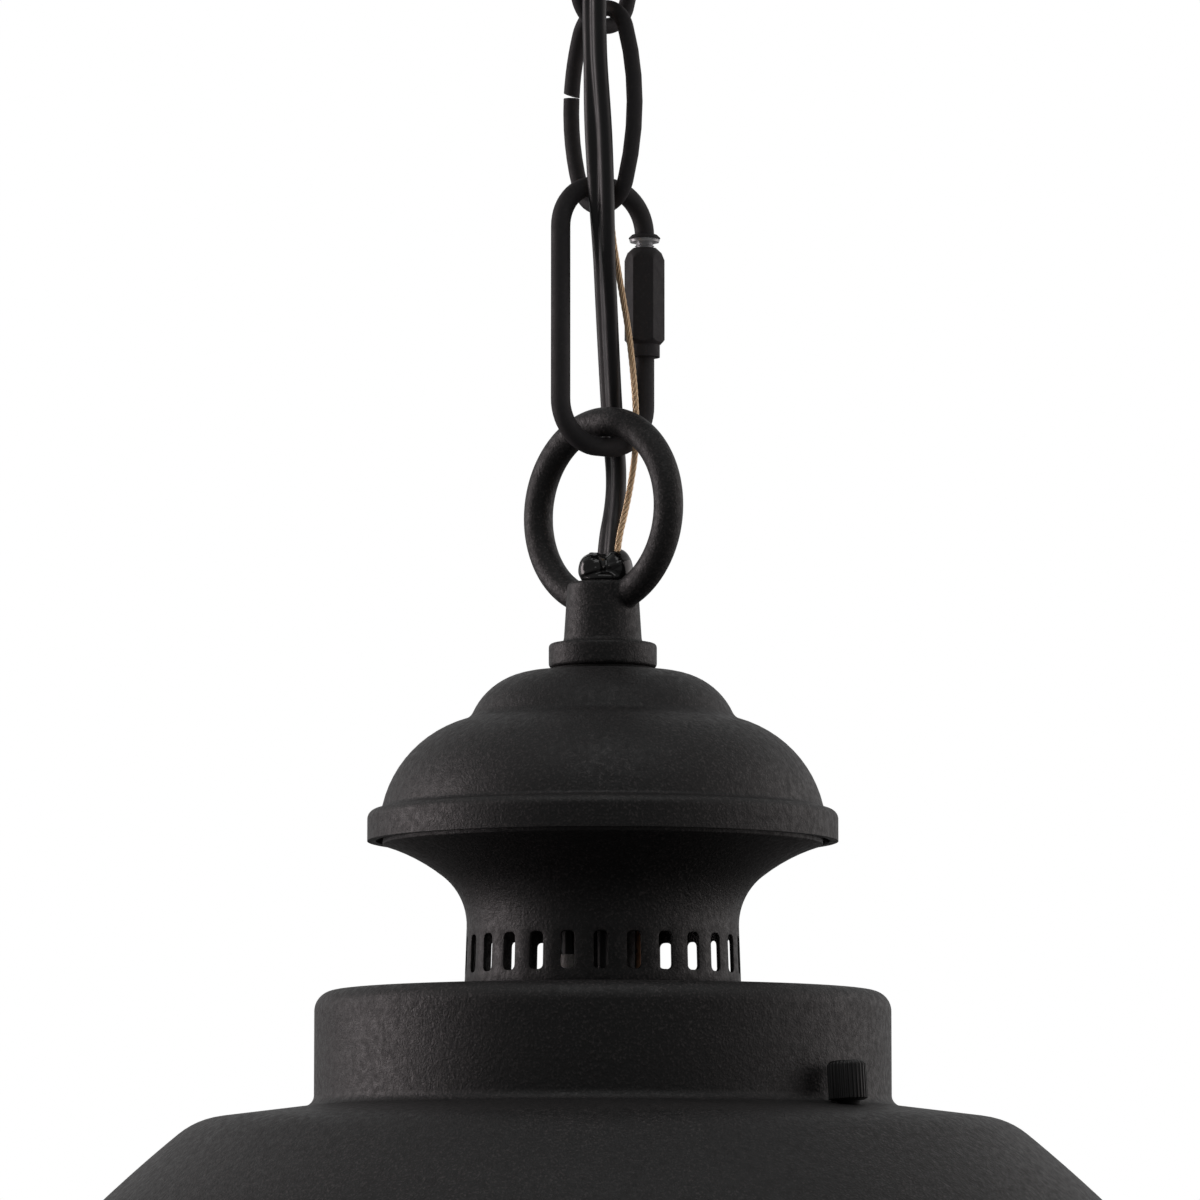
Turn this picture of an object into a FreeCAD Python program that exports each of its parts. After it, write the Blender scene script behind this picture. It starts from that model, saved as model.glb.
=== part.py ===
import FreeCAD, Part
import math
import os
import re
import Sketcher
from FreeCAD import Placement, Rotation, Vector

# Outdoor pendant light, hung from a ceiling canopy by two chain links and a
# quick link. Millimetres. The origin is the middle of the ceiling plane, +Z is
# up, and -Y faces the viewer.

SIZES = {
    # canopy and its fixings
    "canopy_radius": 63.5,
    "canopy_depth": 24.0,
    "canopy_bend": 15.0,
    "canopy_hole": 10.0,
    "canopy_wall": 1.2,
    "bar_end": 7.55,
    "bar_ear": 32.0,
    "bar_middle": 22.0,
    "bar_drop": 8.0,
    "bar_sheet": 2.0,
    "bar_width": 16.0,
    "box_screw_half": 44.45,
    "box_screw_hole": 2.4,
    "pipe_radius": 4.85,
    "pipe_bore": 3.2,
    "thread_gap": 0.05,
    "thread_relief": 1.0,
    "canopy_stem_top": 3.0,
    "canopy_stem_length": 28.0,
    "locknut_flats": 14.0,
    "locknut_height": 3.5,
    "ceiling_screw_at": 15.0,
    "loop_spigot": 9.8,
    "loop_spigot_height": 9.0,
    "loop_flange": 14.0,
    "loop_flange_height": 3.0,
    "loop_collar": 10.8,
    "loop_collar_height": 7.0,
    "loop_half": 8.3,
    "loop_wire": 2.2,
    "loop_drop": 27.4,
    "loop_turn": -46.0,
    # chain and quick link
    "rest_gap": 0.3,
    "link_half": 18.05,
    "link_side": 8.2,
    "link_end": 6.2,
    "link_wire": 1.45,
    "link_gap": 1.0,
    "link_gap_at": 2.5,
    "upper_link_turn": 44.0,
    "lower_link_turn": -46.0,
    "quick_half": 23.5,
    "quick_side": 9.3,
    "quick_bend": 8.0,
    "quick_wire": 1.75,
    "quick_turn": 36.0,
    "stub_depth": 2.5,
    "leg_top": 3.0,
    "collar_radius": 2.85,
    "collar_height": 1.3,
    "nut_length": 19.8,
    "nut_drop": 1.0,
    "nut_flats": 6.3,
    "nut_end": 2.75,
    "nut_end_length": 2.2,
    "nut_slope": 0.9,
    "nut_clock": -5.0,
    "nut_play": 0.07,
    # hanger casting, seal and gasket
    "ring_radius": 16.3,
    "ring_wire": 2.65,
    "ring_turn": -44.0,
    "boss_below_ring": 12.86,
    "boss_top_radius": 6.3,
    "boss_foot_radius": 7.0,
    "boss_height": 10.9,
    "flange_radius": 9.65,
    "flange_height": 4.45,
    "flange_round": 0.7,
    "boss_thread": 9.0,
    "seal_radius": 4.7,
    "seal_bore": 3.1,
    "seal_height": 4.8,
    "seal_lip": 0.5,
    "gasket_radius": 9.0,
    "gasket_height": 0.7,
    # dome cap
    "cap_wall": 1.5,
    "cap_hole": 5.1,
    "cap_flat": 11.8,
    "cap_crown": 12.5,
    "cap_crown_angle": 65.0,
    "cap_cove": 2.7,
    "cap_cove_angle": 16.0,
    "cap_dome": 20.5,
    "cap_dome_angle": 77.0,
    "rim_cove": 1.0,
    "rim_ledge_angle": 14.0,
    "rim_round": 2.6,
    "rim_wall": 3.7,
    # vent gallery
    "gallery_top": 30.8,
    "gallery_lip": 39.1,
    "gallery_lip_angle": 163.0,
    "gallery_sweep": 33.0,
    "gallery_sweep_angle": 142.0,
    "gallery_neck": 11.1,
    "gallery_neck_angle": 88.0,
    "gallery_foot": 10.7,
    "gallery_wall": 0.7,
    "upstand_wall": 2.0,
    "upstand_bite": -0.3,
    "slot_count": 26,
    "slot_width": 2.6,
    "slot_height": 6.6,
    "slot_rise": 2.4,
    "slot_corner": 0.9,
    "slot_clock": -0.9,
    "foot_gasket": 0.6,
    "foot_gasket_width": 2.8,
    # shade
    "shade_wall": 1.2,
    "shade_hole": 11.5,
    "drum_radius": 51.1,
    "drum_height": 20.4,
    "drum_round": 3.6,
    "drum_fillet": 2.0,
    "shoulder_angle": 7.0,
    "shoulder_run": 15.0,
    "shoulder_bend": 14.0,
    "skirt_angle": 39.5,
    "skirt_sweep": 256.0,
    "skirt_end_angle": 68.6,
    "bead_radius": 2.2,
    # stem and its clamp
    "stem_tail": 3.5,
    "spacer_radius": 7.3,
    "spacer_height": 26.0,
    "window_top": 8.5,
    "window_height": 13.0,
    "window_depth": 1.0,
    "washer_radius": 16.0,
    "washer_height": 1.5,
    "lead_hole": 1.4,
    "stem_nut_flats": 12.0,
    "stem_nut_height": 5.0,
    # carrier bar, studs and thumb nuts
    "stud_turn": -41.0,
    "stud_lean": 4.0,
    "stud_slack": 0.5,
    "stud_radius": 1.9,
    "stud_head": 3.5,
    "stud_head_height": 2.2,
    "stud_play": 0.5,
    "carrier_overhang": 5.5,
    "carrier_width": 9.6,
    "carrier_height": 3.0,
    "carrier_drop": 2.6,
    "carrier_screw_at": 25.0,
    "thumb_radius": 3.4,
    "thumb_height": 7.3,
    "thumb_chamfer": 0.7,
    "thumb_blind": 1.2,
    "thumb_clear": 0.7,
    "flute_count": 28,
    "flute_radius": 0.28,
    # lampholder
    "socket_cap_radius": 18.5,
    "socket_cap_wall": 1.0,
    "socket_cap_height": 14.0,
    "socket_gap": 0.2,
    "socket_cap_round": 3.0,
    "socket_top": 4.0,
    "socket_radius": 17.2,
    "socket_lip": 19.6,
    "socket_lip_height": 5.0,
    "socket_lip_slope": 3.0,
    "socket_height": 36.0,
    "socket_web": 10.0,
    "shell_bore": 13.2,
    "shell_wall": 0.5,
    "shell_length": 22.0,
    "shell_eye": 6.2,
    "contact_radius": 4.2,
    "contact_height": 0.4,
    "screw_radius": 1.95,
    "screw_head": 3.4,
    "screw_head_height": 2.3,
    "screw_length": 9.4,
    # leads and cords
    "lead_radius": 1.0,
    "lead_short": 0.6,
    "sleeve_radius": 1.6,
    "sleeve_length": 5.9,
    "sleeve_play": 0.1,
    "earth_radius": 0.6,
    "earth_drop": 7.0,
    "cord_radius": 1.6,
    "wire_radius": 0.55,
}

doc = FreeCAD.newDocument("outdoor_pendant_light")
sizes = doc.addObject("Spreadsheet::Sheet", "sizes")
layout = doc.addObject("Spreadsheet::Sheet", "layout")
layout_names = []


def fill_sizes():
    for row, (alias, value) in enumerate(SIZES.items(), start=1):
        sizes.set(f"A{row}", alias)
        sizes.set(f"B{row}", str(value))
        sizes.setAlias(f"B{row}", alias)
    sizes.recompute()


def bind(text):
    """Names the sheet in front of every alias in a formula."""
    def named(match):
        word = match.group(0)
        if word in SIZES:
            return "sizes." + word
        if word in layout_names:
            return "layout." + word
        return word
    return re.sub(r"[a-z]\w*", named, str(text))


def number(text):
    return float(sizes.evalExpression(bind(text)))


def derive(alias, formula):
    """Adds a worked-out position to the layout sheet and gives its alias."""
    row = len(layout_names) + 1
    layout.set(f"A{row}", alias)
    layout.set(f"B{row}", "=" + bind(formula))
    layout.setAlias(f"B{row}", alias)
    layout_names.append(alias)
    layout.recompute()
    return alias


def new_body(label, height="0", turn="0"):
    body = doc.addObject("PartDesign::Body", label)
    body.Label = label
    body.Placement = Placement(Vector(0, 0, number(height)), Rotation(Vector(0, 0, 1), number(turn)))
    if str(height) != "0":
        body.setExpression("Placement.Base.z", bind(height))
    if str(turn) != "0":
        body.setExpression("Placement.Rotation.Angle", bind(turn))
    return body


def origin_item(body, role):
    return next(item for item in body.Origin.OriginFeatures if item.Role == role)


def new_sketch(body, name, plane="XZ_Plane"):
    sketch = body.newObject("Sketcher::SketchObject", name)
    sketch.AttachmentSupport = (origin_item(body, plane), [""])
    sketch.MapMode = "FlatFace"
    return sketch


def arc_between(start, end, radius, side):
    """Arc from start to end; side 1 keeps the centre on the left of the way, -1 on the right."""
    chord = end - start
    half = chord.Length / 2
    across = Vector(-chord.y, chord.x, 0) * (side / chord.Length)
    centre = (start + end) * 0.5 + across * math.sqrt(max(radius * radius - half * half, 0))
    first = math.atan2(start.y - centre.y, start.x - centre.x)
    last = math.atan2(end.y - centre.y, end.x - centre.x)
    circle = Part.Circle(centre, Vector(0, 0, 1), radius)
    if side > 0:
        return Part.ArcOfCircle(circle, first, last)
    return Part.ArcOfCircle(circle, last, first)


def draw(sketch, corners, closed=True):
    """Lines and arcs through corners (x, y) or (x, y, radius, side), each bound to the sheets."""
    points = [Vector(number(corner[0]), number(corner[1]), 0) for corner in corners]
    count = len(corners)
    ends = []
    rules = []
    formulas = []
    first = 0 if closed else 1
    for index in range(first, count):
        corner = corners[index]
        start = points[index - 1]
        if len(corner) == 2:
            piece = sketch.addGeometry(Part.LineSegment(start, points[index]), False)
            ends.append((piece, 1, 2))
            continue
        arc = arc_between(start, points[index], number(corner[2]), corner[3])
        piece = sketch.addGeometry(arc, False)
        ends.append((piece, 1, 2) if corner[3] > 0 else (piece, 2, 1))
        rules.append(Sketcher.Constraint("Radius", piece, number(corner[2])))
        formulas.append((f"bend_{index}", corner[2]))
    for index, (piece, begin, finish) in enumerate(ends):
        if index or closed:
            before = ends[index - 1]
            rules.append(Sketcher.Constraint("Coincident", before[0], before[2], piece, begin))
            formulas.append(None)
        spots = [(index + first, finish)]
        if not closed and index == 0:
            spots.append((0, begin))
        for spot, end in spots:
            for axis, kind, line in ((0, "DistanceX", -2), (1, "DistanceY", -1)):
                text = corners[spot][axis]
                if str(text) == "0":
                    rules.append(Sketcher.Constraint("PointOnObject", piece, end, line))
                    formulas.append(None)
                    continue
                rules.append(Sketcher.Constraint(kind, -1, 1, piece, end, number(text)))
                formulas.append(("across" if axis == 0 else "along", spot, text))
    placed = sketch.addConstraint(rules)
    for index, formula in zip(placed, formulas):
        if formula is None:
            continue
        name = formula[0] if len(formula) == 2 else f"{formula[0]}_{formula[1]}"
        sketch.renameConstraint(index, name)
        sketch.setExpression("Constraints." + name, bind(formula[-1]))
    doc.recompute()
    return sketch


def draw_circle(sketch, radius, x="0", y="0", name="round"):
    centre = Vector(number(x), number(y), 0)
    piece = sketch.addGeometry(Part.Circle(centre, Vector(0, 0, 1), number(radius)), False)
    index = sketch.addConstraint(Sketcher.Constraint("Radius", piece, number(radius)))
    sketch.renameConstraint(index, name + "_radius")
    sketch.setExpression(f"Constraints.{name}_radius", bind(radius))
    for text, kind, line in ((x, "DistanceX", -2), (y, "DistanceY", -1)):
        if str(text) == "0":
            sketch.addConstraint(Sketcher.Constraint("PointOnObject", piece, 3, line))
            continue
        index = sketch.addConstraint(Sketcher.Constraint(kind, -1, 1, piece, 3, number(text)))
        sketch.renameConstraint(index, f"{name}_{kind}")
        sketch.setExpression(f"Constraints.{name}_{kind}", bind(text))
    return sketch


def revolve(body, corners, name="Turned"):
    sketch = draw(new_sketch(body, name + "Outline"), corners)
    turned = body.newObject("PartDesign::Revolution", name)
    turned.Profile = sketch
    turned.ReferenceAxis = (sketch, ["V_Axis"])
    turned.Angle = 360
    doc.recompute()
    return turned


def sheet_outline(label, start, steps, wall):
    """Corners of a sheet section: straight runs and bends of its outer face, then its inner face."""
    r, z, angle = start
    outer = [(r, z)]
    inner = [(f"{r} - {wall}*sin({angle})", f"{z} - {wall}*cos({angle})")]
    bends = []
    for index, step in enumerate(steps, start=1):
        if step[0] == "run":
            across = f"{r} + ({step[1]})*cos({angle})"
            along = f"{z} - ({step[1]})*sin({angle})"
            bends.append(None)
        else:
            radius, target = step[1], step[2]
            way = 1 if number(target) > number(angle) else -1
            across = f"{r} + {way}*({radius})*(sin({target}) - sin({angle}))"
            along = f"{z} - {way}*({radius})*(cos({angle}) - cos({target}))"
            bends.append((radius, way))
            angle = target
        r = derive(f"{label}_across_{index}", across)
        z = derive(f"{label}_along_{index}", along)
        outer.append((r, z))
        inner.append((f"{r} - {wall}*sin({angle})", f"{z} - {wall}*cos({angle})"))
    corners = [outer[0]]
    for corner, bend in zip(outer[1:], bends):
        corners.append(corner if bend is None else (*corner, bend[0], -bend[1]))
    corners.append(inner[-1])
    for corner, bend in zip(reversed(inner[:-1]), reversed(bends)):
        if bend is None:
            corners.append(corner)
        else:
            corners.append((*corner, f"{bend[0]} - {bend[1]}*{wall}", bend[1]))
    return corners


def cut_through(body, sketch, name="Holes"):
    pocket = body.newObject("PartDesign::Pocket", name)
    pocket.Profile = sketch
    pocket.Type = "ThroughAll"
    pocket.Midplane = True
    doc.recompute()
    return pocket


def round_holes(body, holes, name="Holes"):
    sketch = new_sketch(body, name + "Outline", "XY_Plane")
    for index, (x, y, radius) in enumerate(holes):
        draw_circle(sketch, radius, x, y, f"hole_{index}")
    return cut_through(body, sketch, name)


def sweep(body, path, section_radius, x, z, name="Swept"):
    """Round wire swept along a path in the body's XZ plane that starts straight up or down."""
    edges = [f"Edge{index + 1}" for index in range(path.GeometryCount)]
    section = new_sketch(body, name + "Section", "XY_Plane")
    section.AttachmentOffset = Placement(Vector(0, 0, number(z)), Rotation())
    if str(z) != "0":
        section.setExpression("AttachmentOffset.Base.z", bind(z))
    draw_circle(section, section_radius, x)
    pipe = body.newObject("PartDesign::AdditivePipe", name)
    pipe.Profile = section
    pipe.Spine = (path, edges)
    pipe.Mode = "Frenet"
    doc.recompute()
    return pipe


def polar(body, feature, count, name="Around"):
    pattern = body.newObject("PartDesign::PolarPattern", name)
    pattern.Originals = [feature]
    pattern.Axis = (origin_item(body, "Z_Axis"), [""])
    pattern.Angle = 360
    pattern.Occurrences = int(number(count))
    pattern.setExpression("Occurrences", bind(count))
    body.Tip = pattern
    doc.recompute()
    return pattern


def hex_corners(flats):
    corners = []
    for index in range(6):
        angle = 60 * index
        corners.append((f"{flats}/sqrt(3)*cos({angle})", f"{flats}/sqrt(3)*sin({angle})"))
    corners[0] = (corners[0][0], "0")
    corners[3] = (corners[3][0], "0")
    return corners


def pad(body, sketch, length, name="Padded", both_ways=False):
    padded = body.newObject("PartDesign::Pad", name)
    padded.Profile = sketch
    padded.Length = number(length)
    padded.setExpression("Length", bind(length))
    padded.Midplane = both_ways
    doc.recompute()
    return padded


def hex_nut(label, height, flats, thickness, bore):
    body = new_body(label, height)
    pad(body, draw(new_sketch(body, "Hexagon", "XY_Plane"), hex_corners(flats)), thickness)
    round_holes(body, [("0", "0", bore)], "Bore")
    return body


def tube(label, height, outer, inner, length):
    body = new_body(label, height)
    revolve(body, [(inner, "0"), (outer, "0"), (outer, f"-({length})"), (inner, f"-({length})")])
    return body


def screw(label, height, turn, x, up):
    """Pan-head screw; up is 1 where its head stands on top of what it holds, -1 below."""
    body = new_body(label, height, turn)
    shank = f"-{up}*screw_length"
    head = f"{up}*screw_head_height"
    edge = f"{up}*screw_head_height*0.45"
    revolve(body, [("0", shank), ("screw_radius", shank), ("screw_radius", "0"), ("screw_head", "0"),
                   ("screw_head", edge), ("screw_head*0.72", head), ("0", head)])
    if str(x) != "0":
        for axis, way in (("x", "cos"), ("y", "sin")):
            formula = f"({x})*{way}({turn})"
            body.setExpression("Placement.Base." + axis, bind(formula))
    doc.recompute()
    return body


def route_wire(label, points):
    """Straight runs joined by tangent arcs, each arc as wide as its two runs allow."""
    spots = [Vector(*point) for point in points]
    edges = []
    radii = []
    here = spots[0]
    for before, corner, after in zip(spots, spots[1:], spots[2:]):
        back = (before - corner).normalize()
        on = (after - corner).normalize()
        turn = math.pi - back.getAngle(on)
        reach = 0.45 * min((before - corner).Length, (after - corner).Length)
        radius = reach / math.tan(turn / 2)
        enter = corner + back * reach
        leave = corner + on * reach
        middle = (back + on).normalize()
        top = corner + middle * (radius / math.cos(turn / 2) - radius)
        edges.append(Part.makeLine(here, enter))
        edges.append(Part.Arc(enter, top, leave).toShape())
        radii.append(round(radius, 1))
        here = leave
    edges.append(Part.makeLine(here, spots[-1]))
    print(label, "bend radii", radii)
    return Part.Wire(edges)


def cord(label, points, radius):
    spine = doc.addObject("Part::Feature", label + "_route")
    spine.Shape = route_wire(label, points)
    way = (Vector(*points[1]) - Vector(*points[0])).normalize()
    section = doc.addObject("Part::Circle", label + "_section")
    section.Placement = Placement(Vector(*points[0]), Rotation(Vector(0, 0, 1), way))
    section.setExpression("Radius", bind(radius))
    swept = doc.addObject("Part::Sweep", label)
    swept.Label = label
    swept.Sections = [section]
    swept.Spine = (spine, [f"Edge{index + 1}" for index in range(len(spine.Shape.Edges))])
    swept.Solid = True
    swept.Frenet = False
    doc.recompute()
    return swept


fill_sizes()

# Heights of the hanging pieces, from the ceiling down.
derive("bar_half", "box_screw_half + bar_end")
derive("loop_bottom", "-canopy_depth - loop_drop")
derive("upper_link_at", "loop_bottom + loop_wire + link_wire + rest_gap - link_half")
derive("lower_link_at", "upper_link_at - 2*link_half + 2*link_wire + rest_gap")
derive("quick_at", "lower_link_at - link_half + link_wire + quick_wire + rest_gap - quick_half")
derive("ring_at", "quick_at - quick_half + quick_wire + ring_wire + rest_gap - ring_radius")
derive("boss_top_at", "ring_at - boss_below_ring")
derive("flange_at", "boss_top_at - boss_height")
derive("flange_foot_at", "flange_at - flange_height")
derive("cap_at", "flange_foot_at - gasket_height")
derive("gallery_at", "cap_at - gallery_top")

# Sections of the sheet pieces: straight runs and tangent bends of the outer face.
canopy_section = sheet_outline("canopy", ("canopy_radius", "0", "90"), [
    ("run", "canopy_depth - canopy_bend"), ("bend", "canopy_bend", "180"),
    ("run", "canopy_radius - canopy_bend - canopy_hole")], "canopy_wall")
cap_section = sheet_outline("cap", ("cap_hole", "0", "0"), [
    ("run", "cap_flat - cap_hole"), ("bend", "cap_crown", "cap_crown_angle"),
    ("bend", "cap_cove", "cap_cove_angle"), ("bend", "cap_dome", "cap_dome_angle"),
    ("bend", "rim_cove", "rim_ledge_angle"), ("bend", "rim_round", "90"), ("run", "rim_wall")], "cap_wall")
gallery_section = sheet_outline("gallery", ("gallery_lip", "0", "gallery_lip_angle"), [
    ("bend", "gallery_sweep", "gallery_sweep_angle"), ("bend", "gallery_neck", "gallery_neck_angle"),
    ("run", "gallery_foot")], "gallery_wall")
shade_section = sheet_outline("shade", ("shade_hole", "0", "0"), [
    ("run", "drum_radius - drum_round - shade_hole"), ("bend", "drum_round", "90"),
    ("run", "drum_height - drum_round - drum_fillet*cos(shoulder_angle)"),
    ("bend", "drum_fillet", "shoulder_angle"), ("run", "shoulder_run"),
    ("bend", "shoulder_bend", "skirt_angle"), ("bend", "skirt_sweep", "skirt_end_angle")], "shade_wall")
socket_cap_section = sheet_outline("socket_cap", ("screw_radius + thread_gap", "0", "0"), [
    ("run", "socket_cap_radius - socket_cap_round - screw_radius - thread_gap"),
    ("bend", "socket_cap_round", "90"), ("run", "socket_cap_height - socket_cap_round")], "socket_cap_wall")

# Where the sections and the links put the pieces that rest on them.
derive("cap_ledge", "cap_along_5 - cap_wall*cos(rim_ledge_angle)")
derive("upstand_top", "cap_ledge + gallery_top")
derive("gallery_foot_at", "gallery_at + gallery_along_3 - gallery_wall*cos(gallery_neck_angle)")
derive("shade_at", "gallery_foot_at - foot_gasket")
derive("thumb_foot", "rest_gap + thumb_radius*(tan(shoulder_angle) + sin(stud_lean))")
derive("thumb_top", "thumb_foot + thumb_height")
derive("stud_circle", "drum_radius + thumb_radius*cos(stud_lean) + thumb_top*sin(stud_lean) + thumb_clear")
derive("stud_seat", "shade_along_4 - (stud_circle - shade_across_4)*tan(shoulder_angle)")
derive("stem_top_at", "flange_foot_at + boss_thread - rest_gap")
derive("washer_at", "shade_at - shade_wall")
derive("stem_nut_at", "washer_at - washer_height - stem_nut_height")
derive("stem_length", "stem_top_at - stem_nut_at + stem_tail")
derive("carrier_at", "shade_at + stud_seat - carrier_drop")
derive("socket_at", "carrier_at - carrier_height")
derive("link_side_arc", "(link_side^2 + (link_half - link_end)^2 - link_end^2)/(2*(link_side - link_end))")
derive("link_tip_sine", "(link_half - link_end)/(link_side_arc - link_end)")
derive("link_join_z", "link_side_arc*link_tip_sine")
derive("link_join_x", "link_side - link_side_arc + link_side_arc*sqrt(1 - link_tip_sine^2)")
derive("gap_foot_at", "link_gap_at - link_gap")
derive("gap_top_x", "link_side - link_side_arc + sqrt(link_side_arc^2 - link_gap_at^2)")
derive("gap_foot_x", "link_side - link_side_arc + sqrt(link_side_arc^2 - gap_foot_at^2)")
derive("quick_bend_at", "quick_half - quick_bend")
derive("quick_flat", "quick_side - quick_bend")
derive("nut_top_at", "quick_bend_at - collar_height - nut_drop")

parts = []

# Ceiling canopy and what fixes it to the box.
body = new_body("canopy")
revolve(body, canopy_section)
parts.append(body)

body = new_body("crossbar")
under = "bar_drop + bar_sheet"
profile = [("-bar_half", "0"), ("-bar_ear", "0"), ("-bar_middle", "-bar_drop"), ("bar_middle", "-bar_drop"),
           ("bar_ear", "0"), ("bar_half", "0"), ("bar_half", "-bar_sheet"), ("bar_ear", "-bar_sheet"),
           ("bar_middle", f"-({under})"), ("-bar_middle", f"-({under})"), ("-bar_ear", "-bar_sheet"),
           ("-bar_half", "-bar_sheet")]
pad(body, draw(new_sketch(body, "Side"), profile), "bar_width", both_ways=True)
round_holes(body, [("box_screw_half", "0", "box_screw_hole"), ("-box_screw_half", "0", "box_screw_hole"),
                   ("0", "0", "pipe_radius + thread_gap"),
                   ("ceiling_screw_at", "0", "screw_radius + thread_gap")])
parts.append(body)

parts.append(tube("canopy_stem", "-canopy_stem_top", "pipe_radius", "pipe_bore", "canopy_stem_length"))
parts.append(hex_nut("canopy_locknut", "-bar_drop", "locknut_flats", "locknut_height",
                     "pipe_radius + thread_gap"))
parts.append(screw("ceiling_ground_screw", f"-({under})", "0", "ceiling_screw_at", -1))

body = new_body("canopy_loop", "-canopy_depth", "loop_turn")
foot = "-loop_flange_height - loop_collar_height"
thread = "pipe_radius + thread_gap"
thread_end = "canopy_depth - canopy_stem_top - canopy_stem_length - thread_relief"
revolve(body, [(thread, "loop_spigot_height"), ("loop_spigot", "loop_spigot_height"), ("loop_spigot", "0"),
               ("loop_flange", "0"), ("loop_flange", "-loop_flange_height"),
               ("loop_collar", "-loop_flange_height"), ("loop_collar", foot), ("pipe_bore", foot),
               ("pipe_bore", thread_end), (thread, thread_end)])
path = new_sketch(body, "BailPath")
bail_top = "-loop_flange_height - loop_collar_height*0.5"
bend_at = "loop_half - loop_drop"
draw(path, [("-loop_half", bail_top), ("-loop_half", bend_at), ("0", "-loop_drop", "loop_half", 1),
            ("loop_half", bend_at, "loop_half", 1), ("loop_half", bail_top)], closed=False)
sweep(body, path, "loop_wire", "-loop_half", bail_top, "Bail")
parts.append(body)

# Chain links: two end arcs and two flat side arcs, left open at one side.
for label, at, turn in (("chain_link_upper", "upper_link_at", "upper_link_turn"),
                        ("chain_link_lower", "lower_link_at", "lower_link_turn")):
    body = new_body(label, at, turn)
    path = new_sketch(body, "LinkPath")
    draw(path, [("-gap_top_x", "link_gap_at"), ("-link_join_x", "link_join_z", "link_side_arc", -1),
                ("link_join_x", "link_join_z", "link_end", -1),
                ("link_join_x", "-link_join_z", "link_side_arc", -1),
                ("-link_join_x", "-link_join_z", "link_end", -1),
                ("-gap_foot_x", "gap_foot_at", "link_side_arc", -1)], closed=False)
    sweep(body, path, "link_wire", "-gap_top_x", "link_gap_at", "Link")
    parts.append(body)

# Quick link, open at its right leg inside the sleeve nut.
body = new_body("quick_link", "quick_at", "quick_turn")
path = new_sketch(body, "LinkPath")
draw(path, [("quick_side", "leg_top"), ("quick_side", "-quick_bend_at"),
            ("quick_flat", "-quick_half", "quick_bend", -1), ("-quick_flat", "-quick_half"),
            ("-quick_side", "-quick_bend_at", "quick_bend", -1), ("-quick_side", "quick_bend_at"),
            ("-quick_flat", "quick_half", "quick_bend", -1), ("quick_flat", "quick_half"),
            ("quick_side", "quick_bend_at", "quick_bend", -1),
            ("quick_side", "nut_top_at - stub_depth")], closed=False)
sweep(body, path, "quick_wire", "quick_side", "leg_top", "Link")
section = new_sketch(body, "CollarOutline", "XY_Plane")
collar_at = "quick_bend_at - collar_height"
section.AttachmentOffset = Placement(Vector(0, 0, number(collar_at)), Rotation())
section.setExpression("AttachmentOffset.Base.z", bind(collar_at))
draw_circle(section, "collar_radius", "quick_side")
pad(body, section, "collar_height", "Collar")
parts.append(body)

barrel = doc.addObject("PartDesign::Body", "nut_barrel")
bulge = "nut_flats*0.575"
revolve(barrel, [("0", "0"), ("nut_end", "0"), ("nut_end", "nut_end_length"),
                 (bulge, "nut_end_length + nut_slope"), (bulge, "nut_length - nut_slope"),
                 ("nut_end", "nut_length"), ("0", "nut_length")])
prism = doc.addObject("Part::Prism", "nut_prism")
prism.Polygon = 6
prism.setExpression("Circumradius", bind("nut_flats/sqrt(3)"))
prism.setExpression("Height", bind("nut_length"))
outside = doc.addObject("Part::Common", "nut_outside")
outside.Base = barrel
outside.Tool = prism
bore = doc.addObject("Part::Cylinder", "nut_bore")
bore.setExpression("Radius", bind("quick_wire + nut_play"))
bore.setExpression("Height", bind("nut_length"))
nut = doc.addObject("Part::Cut", "quick_link_nut")
nut.Base = outside
nut.Tool = bore
nut.Label = "quick_link_nut"
nut.Placement = Placement(Vector(0, 0, 0), Rotation(Vector(0, 0, 1), number("nut_clock")))
nut.setExpression("Placement.Rotation.Angle", bind("nut_clock"))
nut.setExpression("Placement.Base.x", bind("quick_side*cos(quick_turn)"))
nut.setExpression("Placement.Base.y", bind("quick_side*sin(quick_turn)"))
nut.setExpression("Placement.Base.z", bind("quick_at + nut_top_at - nut_length"))
doc.recompute()
parts.append(nut)

# Hanger: ring, tapered boss and flange cast in one, with the wire bore down its middle.
body = new_body("hanger_loop", "boss_top_at", "ring_turn")
flange_top = "-boss_height"
flange_low = "-boss_height - flange_height"
thread_at = f"{flange_low} + boss_thread"
inset = "flange_radius - flange_round"
revolve(body, [("pipe_bore", "0"), ("boss_top_radius", "0"), ("boss_foot_radius", flange_top),
               (inset, flange_top), ("flange_radius", f"{flange_top} - flange_round", "flange_round", -1),
               ("flange_radius", f"{flange_low} + flange_round"), (inset, flange_low, "flange_round", -1),
               (thread, flange_low), (thread, thread_at), ("pipe_bore", thread_at)], "Boss")
path = new_sketch(body, "RingOutline", "XY_Plane")
path.AttachmentOffset = Placement(Vector(0, 0, number("boss_below_ring")), Rotation())
path.setExpression("AttachmentOffset.Base.z", bind("boss_below_ring"))
draw_circle(path, "ring_wire", "ring_radius")
ring = body.newObject("PartDesign::Revolution", "Ring")
ring.Profile = path
axis_line = new_sketch(body, "RingAxis", "XY_Plane")
axis_line.AttachmentOffset = path.AttachmentOffset
axis_line.setExpression("AttachmentOffset.Base.z", bind("boss_below_ring"))
draw(axis_line, [("0", "-ring_radius"), ("0", "ring_radius")], closed=False)
ring.ReferenceAxis = (axis_line, ["Edge1"])
ring.Angle = 360
doc.recompute()
section = new_sketch(body, "BoreOutline", "XY_Plane")
draw_circle(section, "pipe_bore")
clear = body.newObject("PartDesign::Pocket", "Bore")
clear.Profile = section
clear.Midplane = True
clear.setExpression("Length", bind("boss_height*1.5"))
doc.recompute()
parts.append(body)

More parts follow.
